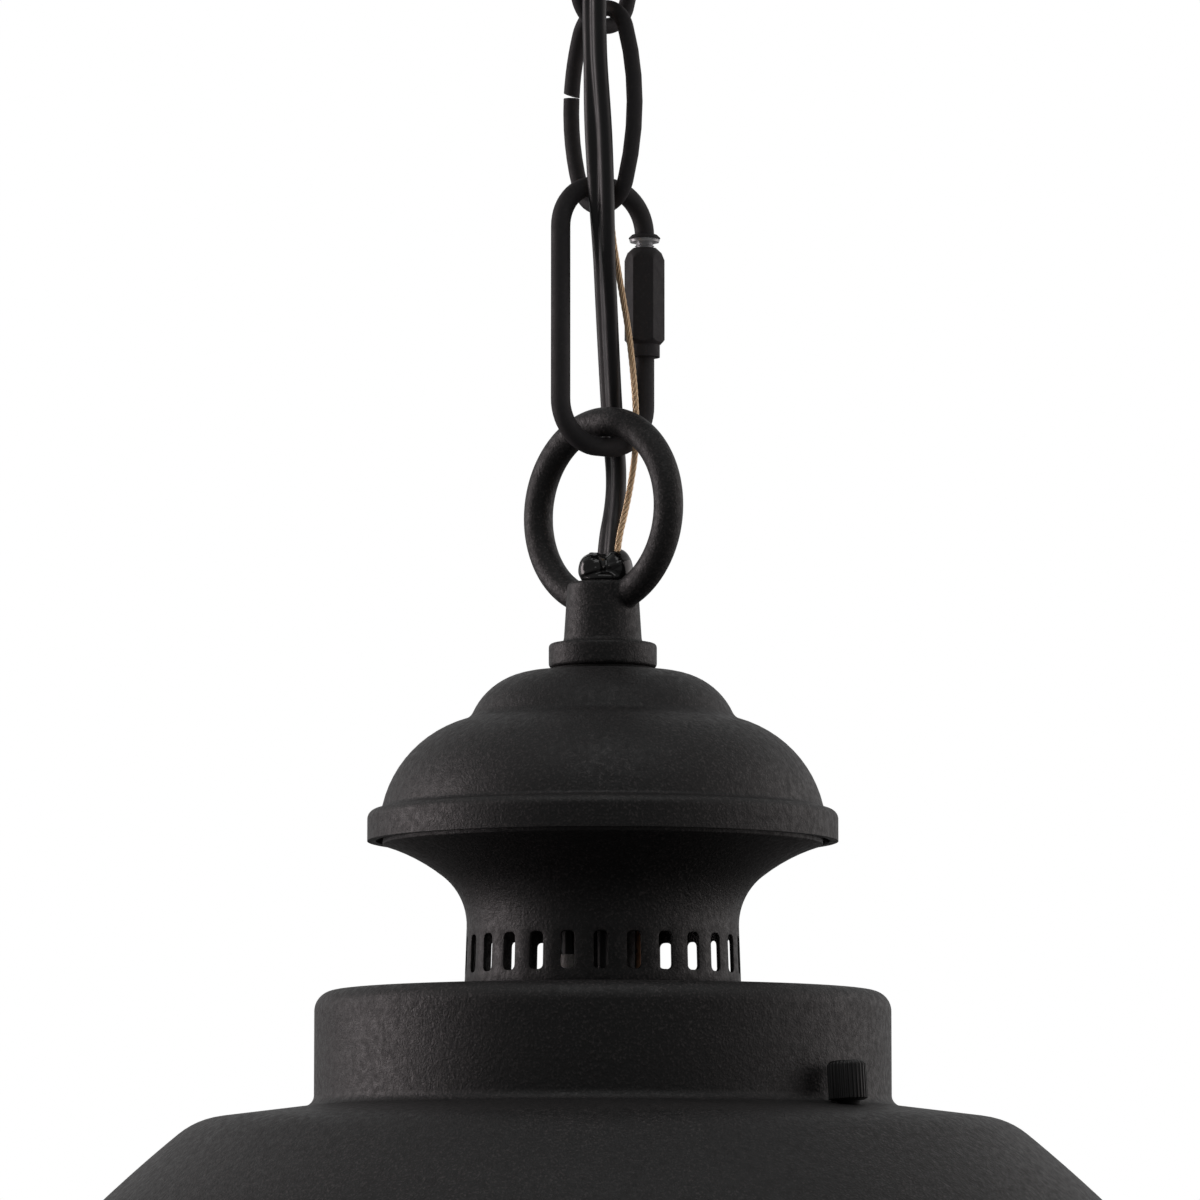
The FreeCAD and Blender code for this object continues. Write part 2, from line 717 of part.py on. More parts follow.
body = new_body("wire_seal", "boss_top_at")
revolve(body, [("seal_bore", "0"), ("seal_radius*0.93", "0"),
               ("seal_radius", "seal_height*0.45", "seal_height*0.75", 1),
               ("seal_bore + seal_lip", "seal_height", "seal_height*0.75", 1), ("seal_bore", "seal_height")])
parts.append(body)

parts.append(tube("cap_gasket", "flange_foot_at", "gasket_radius", "pipe_radius + rest_gap", "gasket_height"))

# Dome cap: crown, cove, dome and a downturned rim, spun in one.
body = new_body("dome_cap", "cap_at")
revolve(body, cap_section)
parts.append(body)

# Vent gallery: trumpet neck with a ring of slots and an upstand that carries the cap.
body = new_body("vent_gallery", "gallery_at", "slot_clock")
revolve(body, gallery_section)
upstand_inside = "gallery_lip - upstand_wall"
revolve(body, [(upstand_inside, "upstand_bite"), ("gallery_lip", "0"), ("gallery_lip", "upstand_top"),
               (upstand_inside, "upstand_top")], "Upstand")
slot_low = "gallery_along_3 + slot_rise"
slot_top = f"{slot_low} + slot_height"
side = "slot_width/2"
flat = "slot_width/2 - slot_corner"
slot = [(f"-({side})", f"{slot_low} + slot_corner"), (f"-({flat})", slot_low, "slot_corner", 1),
        (flat, slot_low), (side, f"{slot_low} + slot_corner", "slot_corner", 1),
        (side, f"{slot_top} - slot_corner"), (flat, slot_top, "slot_corner", 1),
        (f"-({flat})", slot_top), (f"-({side})", f"{slot_top} - slot_corner", "slot_corner", 1)]
section = draw(new_sketch(body, "SlotOutline"), slot)
pocket = body.newObject("PartDesign::Pocket", "Slot")
pocket.Profile = section
pocket.setExpression("Length", bind("gallery_lip"))
doc.recompute()
polar(body, pocket, "slot_count", "Slots")
parts.append(body)

# Shade: drum, shoulder and skirt spun in one, with a rolled bead at the rim.
foot_radius = "gallery_across_3"
parts.append(tube("gallery_gasket", "gallery_foot_at", foot_radius, f"{foot_radius} - foot_gasket_width",
                  "foot_gasket"))

body = new_body("shade", "shade_at")
revolve(body, shade_section)
middle_r = "shade_across_7 - shade_wall/2*sin(skirt_end_angle)"
middle_z = "shade_along_7 - shade_wall/2*cos(skirt_end_angle)"
section = new_sketch(body, "BeadOutline")
draw_circle(section, "bead_radius", middle_r, middle_z)
bead = body.newObject("PartDesign::Revolution", "Bead")
bead.Profile = section
bead.ReferenceAxis = (section, ["V_Axis"])
bead.Angle = 360
doc.recompute()
stud_x = "stud_circle*cos(stud_turn)"
stud_y = "stud_circle*sin(stud_turn)"
round_holes(body, [(stud_x, stud_y, "stud_radius + stud_play"),
                   (f"-({stud_x})", f"-({stud_y})", "stud_radius + stud_play")], "StudHoles")
parts.append(body)

# Stem with a wire window in the cap, clamped under the drum by a washer and nut.
LEADS = {"lead_neutral": (-6.1, -7.0), "lead_live": (0, -8.6), "ground_lead": (6.3, -6.2)}
LEAD_EXITS = {"lead_neutral": (-1.6, 0.3), "lead_live": (0.0, -1.1), "ground_lead": (1.6, 0.3)}
body = new_body("stem", "stem_top_at")
revolve(body, [("pipe_bore", "0"), ("pipe_radius", "0"), ("pipe_radius", "-stem_length"),
               ("pipe_bore", "-stem_length")])
window_low = "-boss_thread - window_top - window_height"
window_high = "-boss_thread - window_top"
section = draw(new_sketch(body, "WindowOutline", "YZ_Plane"),
               [("-pipe_radius*1.5", window_low), ("-window_depth", window_low),
                ("-window_depth", window_high), ("-pipe_radius*1.5", window_high)])
cut_through(body, section, "Window")
parts.append(body)

parts.append(tube("stem_spacer", "washer_at + spacer_height", "spacer_radius", thread, "spacer_height"))

body = new_body("stem_washer", "washer_at")
revolve(body, [(thread, "0"), ("washer_radius", "0"), ("washer_radius", "-washer_height"),
               (thread, "-washer_height")])
round_holes(body, [(x, y, "lead_hole") for x, y in LEADS.values()], "LeadHoles")
parts.append(body)

parts.append(hex_nut("stem_nut", "stem_nut_at", "stem_nut_flats", "stem_nut_height", thread))

# Carrier bar under the shoulder, with its two studs and the thumb nuts that hold it.
body = new_body("carrier_bar", "carrier_at", "stud_turn")
reach = "stud_circle + carrier_overhang"
half = "carrier_width/2"
section = draw(new_sketch(body, "Plan", "XY_Plane"),
               [(f"-({reach})", f"-({half})"), (reach, f"-({half})"), (reach, half), (f"-({reach})", half)])
strip = pad(body, section, "carrier_height")
strip.Reversed = True
stud_hole = "stud_radius + stud_play"
round_holes(body, [("stud_circle", "0", stud_hole), ("-stud_circle", "0", stud_hole),
                   ("0", "0", "screw_radius + thread_gap"),
                   ("carrier_screw_at", "0", "screw_radius + thread_gap")])
parts.append(body)


def on_stud_axis(body, side):
    """Sets a body on a stud's leaning axis, at its seat on the shoulder."""
    turn = number("stud_turn") + (0 if side > 0 else 180)
    lean = Rotation(Vector(0, 0, 1), turn) * Rotation(Vector(0, 1, 0), -number("stud_lean"))
    body.Placement = Placement(Vector(0, 0, 0), lean)
    body.setExpression("Placement.Base.x", bind(f"{side}*stud_circle*cos(stud_turn)"))
    body.setExpression("Placement.Base.y", bind(f"{side}*stud_circle*sin(stud_turn)"))
    body.setExpression("Placement.Base.z", bind("shade_at + stud_seat"))


head_at = "-carrier_drop - carrier_height - stud_slack"
stud_top = "thumb_top - thumb_blind - rest_gap"
studs = []
for side in (1, -1):
    body = doc.addObject("PartDesign::Body", "stud")
    revolve(body, [("0", stud_top), ("stud_radius", stud_top), ("stud_radius", head_at),
                   ("stud_head", head_at), ("stud_head", f"{head_at} - stud_head_height"),
                   ("0", f"{head_at} - stud_head_height")])
    on_stud_axis(body, side)
    studs.append(body)
pair = doc.addObject("Part::Compound", "carrier_studs")
pair.Label = "carrier_studs"
pair.Links = studs
parts.append(pair)

for label, side in (("thumb_nut_right", 1), ("thumb_nut_left", -1)):
    body = doc.addObject("PartDesign::Body", label)
    body.Label = label
    hole = "stud_radius + thread_gap"
    low_edge = "thumb_radius - thumb_chamfer*0.4"
    high_edge = "thumb_radius - thumb_chamfer"
    revolve(body, [(hole, "thumb_foot"), (low_edge, "thumb_foot"),
                   ("thumb_radius", "thumb_foot + thumb_chamfer*0.4"),
                   ("thumb_radius", "thumb_top - thumb_chamfer"), (high_edge, "thumb_top"),
                   ("0", "thumb_top"), ("0", "thumb_top - thumb_blind"), (hole, "thumb_top - thumb_blind")])
    section = new_sketch(body, "FluteOutline", "XY_Plane")
    draw_circle(section, "flute_radius", "thumb_radius")
    polar(body, cut_through(body, section, "Flute"), "flute_count", "Flutes")
    on_stud_axis(body, side)
    parts.append(body)

# Lampholder under the carrier bar.
body = new_body("socket_cap", "socket_at")
revolve(body, socket_cap_section)
socket_leads = [LEADS["lead_neutral"], LEADS["lead_live"]]
round_holes(body, [(x, y, "lead_hole") for x, y in socket_leads], "LeadHoles")
parts.append(body)

body = new_body("socket_body", "socket_at - socket_top")
lip_top = "socket_top - socket_cap_height - socket_gap"
cavity = "shell_bore + shell_wall + thread_gap"
low = "-socket_height"
revolve(body, [("screw_radius + thread_gap", "0"), ("socket_radius", "0"), ("socket_radius", lip_top),
               ("socket_lip", lip_top), ("socket_lip", f"{lip_top} - socket_lip_height"),
               ("socket_radius", f"{lip_top} - socket_lip_height - socket_lip_slope"),
               ("socket_radius", low), (cavity, low), (cavity, "-socket_web"),
               ("screw_radius + thread_gap", "-socket_web")])
parts.append(body)

body = new_body("socket_shell", "socket_at - socket_top - socket_web")
rim = "shell_bore + shell_wall"
revolve(body, [("shell_eye", "0"), (rim, "0"), (rim, "-shell_length"), ("shell_bore", "-shell_length"),
               ("shell_bore", "-shell_wall"), ("shell_eye", "-shell_wall")])
parts.append(body)

body = new_body("socket_contact", "socket_at - socket_top - socket_web")
revolve(body, [("0", "0"), ("contact_radius", "0"), ("contact_radius", "-contact_height*0.5"),
               ("contact_radius*0.6", "-contact_height"), ("0", "-contact_height")])
parts.append(body)

parts.append(screw("socket_screw", "carrier_at", "0", "0", 1))
parts.append(screw("carrier_ground_screw", "carrier_at", "stud_turn", "carrier_screw_at", 1))

# Leads from the stem window down beside the stem, and the grey sleeve on one of them.
stem_exit = number("flange_foot_at - window_top")
lead_end = number("socket_at - socket_top + lead_short")
screw_side = "(carrier_screw_at - screw_head - earth_radius)"
LEAD_ENDS = {
    "lead_neutral": [(*LEADS["lead_neutral"], lead_end)],
    "lead_live": [(*LEADS["lead_live"], lead_end)],
    "ground_lead": [(*LEADS["ground_lead"], number("carrier_at + earth_drop")),
                    (number(screw_side + "*cos(stud_turn)"), number(screw_side + "*sin(stud_turn)"),
                     number("carrier_at + earth_radius"))]}
LEAD_RADII = {"lead_neutral": "lead_radius", "lead_live": "lead_radius", "ground_lead": "earth_radius"}
for label, radius in LEAD_RADII.items():
    x, y = LEADS[label]
    inside_x, inside_y = LEAD_EXITS[label]
    points = [(inside_x, inside_y, stem_exit + 2.0), (1.25 * inside_x, inside_y - 1.9, stem_exit - 3.0),
              (x, y, stem_exit - 12.0), *LEAD_ENDS[label]]
    parts.append(cord(label, points, radius))
sleeve_top = "shade_at + sleeve_length + rest_gap"
sleeve = tube("lead_sleeve", sleeve_top, "sleeve_radius", "lead_radius + sleeve_play", "sleeve_length")
sleeve.Placement.Base.x = LEADS["lead_neutral"][0]
sleeve.Placement.Base.y = LEADS["lead_neutral"][1]
parts.append(sleeve)

# Supply cord and ground wire, woven down the chain from the canopy into the hanger.
CORD_ROUTE = [(0.0, -0.7, -5.0), (0.0, -0.9, -36.5), (-0.4, -7.9, -51.0), (-1.2, -6.6, -80.0),
              (0.2, -7.0, -121.0), (0.9, 0.6, -140.0), (1.8, 7.2, -156.0), (2.7, 6.0, -167.0),
              (0.1, 0.2, -180.0), (0.0, 0.0, -204.0)]
WIRE_ROUTE = [(0.0, 1.7, -5.0), (0.0, 1.5, -36.5), (-0.1, -5.1, -51.0), (-0.2, -4.1, -80.0),
              (1.2, -4.3, -119.5), (3.0, -1.9, -130.0), (5.0, 0.2, -141.0), (6.3, 0.7, -157.0),
              (4.9, 1.4, -168.0), (1.7, -1.7, -181.0), (1.4, -1.9, -204.0)]
parts.append(cord("supply_cord", CORD_ROUTE, "cord_radius"))
parts.append(cord("ground_wire", WIRE_ROUTE, "wire_radius"))

doc.recompute()
for item in doc.Objects:
    if "Invalid" in item.State:
        raise RuntimeError(f"{item.Label} did not build: {item.State}")
os.makedirs("parts", exist_ok=True)
for item in parts:
    shape = item.Shape
    sound = shape.isValid() and len(shape.Solids) > 0 and shape.Volume > 0
    if "Invalid" in item.State or not sound:
        raise RuntimeError(f"{item.Label} did not build: {item.State}")
    shape.exportStep(os.path.join("parts", item.Label + ".step"))
    box = shape.BoundBox
    print(f"{item.Label}: {len(shape.Solids)} solid, {shape.Volume:.0f} mm3,"
          f" z {box.ZMin:.1f} to {box.ZMax:.1f}, x {box.XMin:.1f} to {box.XMax:.1f}")
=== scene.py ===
import math
import bmesh
import bpy
from mathutils import Matrix, Vector, noise


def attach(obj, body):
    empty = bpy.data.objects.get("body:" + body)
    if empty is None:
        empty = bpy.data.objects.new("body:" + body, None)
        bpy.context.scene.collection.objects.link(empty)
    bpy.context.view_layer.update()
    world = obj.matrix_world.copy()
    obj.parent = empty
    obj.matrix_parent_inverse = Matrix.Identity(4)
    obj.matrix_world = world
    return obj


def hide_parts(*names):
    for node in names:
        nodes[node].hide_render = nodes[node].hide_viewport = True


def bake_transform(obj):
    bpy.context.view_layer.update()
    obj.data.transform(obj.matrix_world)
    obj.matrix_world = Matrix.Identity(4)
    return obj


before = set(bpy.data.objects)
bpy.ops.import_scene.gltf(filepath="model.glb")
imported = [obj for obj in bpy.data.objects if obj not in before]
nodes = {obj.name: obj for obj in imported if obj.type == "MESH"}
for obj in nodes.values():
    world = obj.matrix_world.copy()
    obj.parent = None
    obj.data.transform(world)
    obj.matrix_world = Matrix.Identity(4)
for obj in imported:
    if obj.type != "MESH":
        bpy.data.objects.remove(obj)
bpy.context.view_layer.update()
mm = 0.001
print("frame loaded:", len(nodes), "nodes")

# z of each piece, mm, with the ceiling at 0
level = {"canopy": 0.0, "canopyLoop": -24.0, "upperLink": -65.5, "lowerLink": -98.4, "quickLink": -136.45,
         "ring": -171.62, "bossTop": -184.41, "cap": -200.46, "gallery": -231.26, "galleryFoot": -256.666,
         "shade": -257.266, "studSeat": -278.023, "socket": -283.623}


# shader groups and materials

def newTree(name, treeKind, inputs, outputs):
    tree = bpy.data.node_groups.new(name, treeKind)
    for way, sockets in (("INPUT", inputs), ("OUTPUT", outputs)):
        for label, kind in sockets:
            tree.interface.new_socket(label, in_out=way, socket_type="NodeSocket" + kind)
    return tree, tree.nodes.new("NodeGroupInput"), tree.nodes.new("NodeGroupOutput")


def feed(tree, sockets, values):
    # a plain value is set on its socket, an output is linked to it
    for socket, value in zip(sockets, values):
        if isinstance(value, (int, float, tuple)):
            socket.default_value = value
        else:
            tree.links.new(value, socket)


def noiseNode(tree, vector, scale, detail=3.0, rough=0.55):
    node = tree.nodes.new("ShaderNodeTexNoise")
    sockets = [node.inputs[label] for label in ("Vector", "Scale", "Detail", "Roughness")]
    feed(tree, sockets, (vector, scale, detail, rough))
    return node.outputs["Fac"]


def mathNode(tree, operation, first, second):
    node = tree.nodes.new("ShaderNodeMath")
    node.operation = operation
    feed(tree, node.inputs, (first, second))
    return node.outputs[0]


def rangeNode(tree, value, fromLow, fromHigh, toLow, toHigh):
    node = tree.nodes.new("ShaderNodeMapRange")
    feed(tree, node.inputs, (value, fromLow, fromHigh, toLow, toHigh))
    return node.outputs[0]


def mixColour(tree, factor, first, second):
    node = tree.nodes.new("ShaderNodeMix")
    node.data_type = "RGBA"
    feed(tree, (node.inputs[0], node.inputs[6], node.inputs[7]), (factor, first, second))
    return node.outputs[2]


grainShape = {"coarse": 0.37, "cloud": 0.02, "fleckFrom": (0.52, 0.74), "cloudFrom": (0.35, 0.65),
              "cloudTo": (0.45, 1.0), "fineShare": 0.6, "coarseShare": 0.4, "roughFrom": (0.3, 0.7)}


def coatGrainGroup(shape):
    # fine pebbled paint with paler flecks and broad, faint clouds
    tree, source, result = newTree("coatGrain", "ShaderNodeTree", [
        ("Scale", "Float"), ("Paint", "Color"), ("Fleck", "Color"), ("Fleck Amount", "Float"),
        ("Rough Low", "Float"), ("Rough High", "Float")],
        [("Color", "Color"), ("Roughness", "Float"), ("Height", "Float")])
    place = tree.nodes.new("ShaderNodeTexCoord").outputs["Object"]
    scale = source.outputs["Scale"]
    fine = noiseNode(tree, place, scale, 2.0, 0.6)
    coarse = noiseNode(tree, place, mathNode(tree, "MULTIPLY", scale, shape["coarse"]), 2.0, 0.5)
    cloud = noiseNode(tree, place, mathNode(tree, "MULTIPLY", scale, shape["cloud"]))
    fleck = rangeNode(tree, fine, *shape["fleckFrom"], 0.0, source.outputs["Fleck Amount"])
    fleck = mathNode(tree, "MULTIPLY", fleck, rangeNode(tree, cloud, *shape["cloudFrom"], *shape["cloudTo"]))
    colour = mixColour(tree, fleck, source.outputs["Paint"], source.outputs["Fleck"])
    height = mathNode(tree, "ADD", mathNode(tree, "MULTIPLY", fine, shape["fineShare"]),
                      mathNode(tree, "MULTIPLY", coarse, shape["coarseShare"]))
    rough = rangeNode(tree, coarse, *shape["roughFrom"], source.outputs["Rough Low"], source.outputs["Rough High"])
    tree.links.new(colour, result.inputs["Color"])
    tree.links.new(rough, result.inputs["Roughness"])
    tree.links.new(height, result.inputs["Height"])
    return tree


coatGrain = coatGrainGroup(grainShape)


plainShader = {"Metallic": 0.0, "Specular IOR Level": 0.5, "Coat Weight": 0.0, "Coat Roughness": 0.12}


def grainMaterial(name, scale, paint, fleck, amount, rough, bump, special):
    material = bpy.data.materials.new(name)
    material.use_nodes = True
    tree = material.node_tree
    shader = tree.nodes["Principled BSDF"]
    grain = tree.nodes.new("ShaderNodeGroup")
    grain.node_tree = coatGrain
    feed(tree, grain.inputs, (scale, (*paint, 1), (*fleck, 1), amount, *rough))
    relief = tree.nodes.new("ShaderNodeBump")
    sockets = [relief.inputs[label] for label in ("Strength", "Distance", "Height")]
    feed(tree, sockets, (*bump, grain.outputs["Height"]))
    tree.links.new(relief.outputs["Normal"], shader.inputs["Normal"])
    tree.links.new(grain.outputs["Color"], shader.inputs["Base Color"])
    tree.links.new(grain.outputs["Roughness"], shader.inputs["Roughness"])
    for label, value in {**plainShader, **special}.items():
        shader.inputs[label].default_value = value
    return material


# grain scale, paint, fleck, share of flecks, lowest and highest roughness, bump and its depth, special settings
finishes = {
    "powderCoat": (2300.0, (0.0088, 0.0086, 0.0086), (0.115, 0.1, 0.099), 0.66,
                   (0.42, 0.62), (0.8, 0.00026), {}),
    "chainPaint": (1900.0, (0.05, 0.048, 0.05), (0.09, 0.085, 0.085), 0.4,
                   (0.56, 0.7), (0.3, 0.00018), {"Specular IOR Level": 0.2}),
    "knobBlack": (2600.0, (0.01, 0.01, 0.0102), (0.04, 0.038, 0.036), 0.35, (0.36, 0.5), (0.25, 0.0001), {}),
    "blackOxide": (2200.0, (0.005, 0.005, 0.005), (0.012, 0.012, 0.012), 0.4,
                   (0.6, 0.75), (0.2, 0.0001), {"Specular IOR Level": 0.12}),
    "zincPlate": (1500.0, (0.62, 0.63, 0.64), (0.42, 0.43, 0.45), 0.6,
                  (0.22, 0.42), (0.15, 0.0001), {"Metallic": 0.6}),
    "greenPaint": (1400.0, (0.02, 0.14, 0.05), (0.1, 0.22, 0.12), 0.4, (0.3, 0.45), (0.1, 0.0001), {}),
    "sealant": (420.0, (0.006, 0.006, 0.006), (0.014, 0.014, 0.014), 0.5,
                (0.1, 0.2), (0.25, 0.0003), {"Coat Weight": 0.4}),
    "gasketRubber": (1700.0, (0.01, 0.01, 0.01), (0.03, 0.03, 0.03), 0.5, (0.7, 0.85), (0.3, 0.0001), {}),
    "cordJacket": (700.0, (0.016, 0.016, 0.017), (0.03, 0.03, 0.032), 0.35, (0.36, 0.48), (0.12, 0.0002), {}),
    "bareCopper": (2200.0, (1.0, 0.74, 0.47), (0.55, 0.33, 0.19), 0.5,
                   (0.24, 0.42), (0.12, 0.0001), {"Metallic": 0.5}),
    # bare copper painted much darker than the outside ground wire: painted shade for the lead inside the dim vent
    # gallery
    "shadeDarkenedCopper": (900.0, (0.3, 0.16, 0.1), (0.06, 0.035, 0.025), 0.9,
                   (0.3, 0.5), (0.15, 0.0001), {"Metallic": 1.0}),
    "glazedPorcelain": (260.0, (0.74, 0.72, 0.66), (0.66, 0.63, 0.56), 0.5,
                        (0.12, 0.24), (0.05, 0.0001), {"Coat Weight": 0.6}),
    "shellBrass": (1300.0, (0.72, 0.53, 0.24), (0.5, 0.34, 0.14), 0.6,
                   (0.2, 0.34), (0.12, 0.0001), {"Metallic": 1.0}),
    "glassSleeve": (3200.0, (0.86, 0.82, 0.79), (0.4, 0.37, 0.35), 0.8, (0.75, 0.9), (0.6, 0.0001), {}),
}
materials = {name: grainMaterial(name, *finish) for name, finish in finishes.items()}
print("materials:", len(materials))


# mesh helpers, in mm

# longest straight step and arc step of a spun sheet, mm, and its widest turn, degrees
sheetStep = {"run": 3.0, "arc": 2.5, "turn": 5.0}


def sheetLine(start, steps):
    # outer face of a spun sheet: straight runs and tangent bends, headings in degrees below the horizontal
    r, z, angle = start
    line = [(r, z, angle)]
    for step in steps:
        if step[0] == "run":
            count = max(1, round(step[1] / sheetStep["run"]))
            a = math.radians(angle)
            for k in range(1, count + 1):
                reach = step[1] * k / count
                line.append((r + reach * math.cos(a), z - reach * math.sin(a), angle))
        else:
            radius, target = step[1], step[2]
            way = 1 if target > angle else -1
            sweep = math.radians(abs(target - angle))
            count = max(6, round(math.degrees(sweep) / sheetStep["turn"]),
                        round(sweep * radius / sheetStep["arc"]))
            a0 = math.radians(angle)
            for k in range(1, count + 1):
                turned = angle + (target - angle) * k / count
                a = math.radians(turned)
                line.append((r + way * radius * (math.sin(a) - math.sin(a0)),
                             z - way * radius * (math.cos(a0) - math.cos(a)), turned))
            angle = target
        r, z = line[-1][:2]
    return line


def walled(line, wall):
    inner = [(r - wall * math.sin(math.radians(a)), z - wall * math.cos(math.radians(a))) for r, z, a in line]
    return [(r, z) for r, z, a in line] + inner[::-1]


def softCorners(outline, radius, corners):
    # rounds the numbered corners of a closed outline of (r, z)
    rounded = []
    count = len(outline)
    for k, corner in enumerate(outline):
        here = Vector(corner)
        back = Vector(outline[k - 1]) - here
        on = Vector(outline[(k + 1) % count]) - here
        if k not in corners or here.x < 1e-6:
            rounded.append(corner)
            continue
        reach = min(radius, back.length * 0.45, on.length * 0.45)
        first, last = here + back.normalized() * reach, here + on.normalized() * reach
        for t in (0.0, 0.25, 0.5, 0.75, 1.0):
            rounded.append(tuple(first * (1 - t) ** 2 + here * 2 * t * (1 - t) + last * t ** 2))
    return rounded


def turnedMesh(outline, segments, height=0.0):
    # closed outline of (r, z) turned round the z axis
    bm = bmesh.new()
    rings = []
    for r, z in outline:
        if r < 1e-6:
            rings.append([bm.verts.new((0, 0, z + height))])
            continue
        rings.append([bm.verts.new((r * math.cos(math.tau * k / segments), r * math.sin(math.tau * k / segments),
                                    z + height)) for k in range(segments)])
    for first, second in zip(rings, rings[1:] + rings[:1]):
        for k in range(segments):
            n = (k + 1) % segments
            if len(first) == 1 and len(second) == 1:
                break
            if len(first) == 1:
                bm.faces.new((first[0], second[k], second[n]))
            elif len(second) == 1:
                bm.faces.new((first[k], second[0], first[n]))
            else:
                bm.faces.new((first[k], second[k], second[n], first[n]))
    bmesh.ops.recalc_face_normals(bm, faces=bm.faces)
    return bm


def arcPoints(start, end, radius, side):
    # points of an arc after its start; side 1 keeps the centre on the left of the way
    start, end = Vector(start), Vector(end)
    chord = end - start
    across = Vector((-chord.y, chord.x)) * (side / chord.length)
    middle = (start + end) / 2 + across * math.sqrt(max(radius ** 2 - (chord.length / 2) ** 2, 0))
    first = math.atan2(start.y - middle.y, start.x - middle.x)
    last = math.atan2(end.y - middle.y, end.x - middle.x)
    sweep = (last - first) * side % math.tau
    count = max(6, round(math.degrees(sweep) / 6))
    return [(middle.x + radius * math.cos(first + side * sweep * k / count),
             middle.y + radius * math.sin(first + side * sweep * k / count)) for k in range(1, count + 1)]


def tracePath(corners):
    # corners of two numbers end a straight run, those of four an arc with its radius and side
    path = [corners[0][:2]]
    for corner in corners[1:]:
        if len(corner) == 2:
            start = Vector(path[-1])
            end = Vector(corner)
            count = max(1, round((end - start).length / 2))
            path.extend(tuple(start.lerp(end, k / count)) for k in range(1, count + 1))
        else:
            path.extend(arcPoints(path[-1], corner[:2], corner[2], corner[3]))
    return path


def turnMatrix(turn, height):
    return Matrix.Translation((0, 0, height)) @ Matrix.Rotation(math.radians(turn), 4, "Z")


def linked(name, data):
    piece = bpy.data.objects.new(name, data)
    bpy.context.scene.collection.objects.link(piece)
    return piece


def meshPiece(name, bm, place=None):
    if place is not None:
        bmesh.ops.transform(bm, matrix=place, verts=bm.verts)
    bmesh.ops.scale(bm, vec=(mm, mm, mm), verts=bm.verts)
    mesh = bpy.data.meshes.new(name)
    bm.to_mesh(mesh)
    bm.free()
    return linked(name, mesh)


def finalMesh(piece):
    bpy.context.view_layer.update()
    graph = bpy.context.evaluated_depsgraph_get()
    return bpy.data.meshes.new_from_object(piece.evaluated_get(graph), depsgraph=graph)


def settle(piece):
    # turns the modifiers' result into the piece's own plain mesh
    mesh = finalMesh(piece)
    piece.modifiers.clear()
    old = piece.data
    piece.data = mesh
    if old.users == 0:
        bpy.data.meshes.remove(old)
    return piece


def dress(piece, finish, body, node, sharp=35.0):
    if not piece.data.materials:
        piece.data.materials.append(materials[finish])
    piece.data.shade_smooth()
    piece.data.set_sharp_from_angle(angle=math.radians(sharp))
    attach(piece, body)
    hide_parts(node)


def turnedPiece(name, outline, segments, height, finish, body, node):
    dress(meshPiece(name, turnedMesh(outline, segments, height)), finish, body, node)


def faceOut(mesh):
    # all faces point out, told by the one furthest from the axis
    bm = bmesh.new()
    bm.from_mesh(mesh)
    bmesh.ops.recalc_face_normals(bm, faces=bm.faces)
    probe = max(bm.faces, key=lambda face: math.hypot(*face.calc_center_median()[:2]))
    if probe.normal.dot(Vector((*probe.calc_center_median()[:2], 0))) < 0:
        bmesh.ops.reverse_faces(bm, faces=bm.faces)
    bm.to_mesh(mesh)
    bm.free()


# geometry node trees

def ringArrayTree():
    # copies one sector round the z axis and welds the seams
    tree, source, result = newTree("ringArray", "GeometryNodeTree", [
        ("Geometry", "Geometry"), ("Count", "Int"), ("Weld", "Float"), ("Finish", "Material")],
        [("Geometry", "Geometry")])
    whole = tree.nodes.new("GeometryNodeGeometryToInstance")
    copies = tree.nodes.new("GeometryNodeDuplicateElements")
    copies.domain = "INSTANCE"
    turn = tree.nodes.new("GeometryNodeRotateInstances")
    rotation = tree.nodes.new("FunctionNodeAxisAngleToRotation")
    real = tree.nodes.new("GeometryNodeRealizeInstances")
    weld = tree.nodes.new("GeometryNodeMergeByDistance")
    paint = tree.nodes.new("GeometryNodeSetMaterial")
    step = mathNode(tree, "DIVIDE", math.tau, source.outputs["Count"])
    angle = mathNode(tree, "MULTIPLY", copies.outputs["Duplicate Index"], step)
    link = tree.links.new
    link(source.outputs["Geometry"], whole.inputs[0])
    link(whole.outputs[0], copies.inputs["Geometry"])
    link(source.outputs["Count"], copies.inputs["Amount"])
    link(angle, rotation.inputs["Angle"])
    link(copies.outputs["Geometry"], turn.inputs["Instances"])
    link(rotation.outputs[0], turn.inputs["Rotation"])
    link(turn.outputs[0], real.inputs[0])
    link(real.outputs[0], weld.inputs["Geometry"])
    link(source.outputs["Weld"], weld.inputs["Distance"])
    link(weld.outputs[0], paint.inputs["Geometry"])
    link(source.outputs["Finish"], paint.inputs["Material"])
    link(paint.outputs[0], result.inputs["Geometry"])
    return tree


def roundWireTree():
    # round wire along a chain of edges
    tree, source, result = newTree("roundWire", "GeometryNodeTree", [
        ("Geometry", "Geometry"), ("Radius", "Float"), ("Sides", "Int"), ("Finish", "Material")],
        [("Geometry", "Geometry")])
    path = tree.nodes.new("GeometryNodeMeshToCurve")
    ring = tree.nodes.new("GeometryNodeCurvePrimitiveCircle")
    skin = tree.nodes.new("GeometryNodeCurveToMesh")
    skin.inputs["Fill Caps"].default_value = True
    real = tree.nodes.new("GeometryNodeRealizeInstances")
    paint = tree.nodes.new("GeometryNodeSetMaterial")
    link = tree.links.new
    link(source.outputs["Geometry"], path.inputs["Mesh"])
    link(source.outputs["Radius"], ring.inputs["Radius"])
    link(source.outputs["Sides"], ring.inputs["Resolution"])
    link(path.outputs[0], skin.inputs["Curve"])
    link(ring.outputs[0], skin.inputs["Profile Curve"])
    link(skin.outputs[0], real.inputs[0])
    link(real.outputs[0], paint.inputs["Geometry"])
    link(source.outputs["Finish"], paint.inputs["Material"])
    link(paint.outputs[0], result.inputs["Geometry"])
    return tree


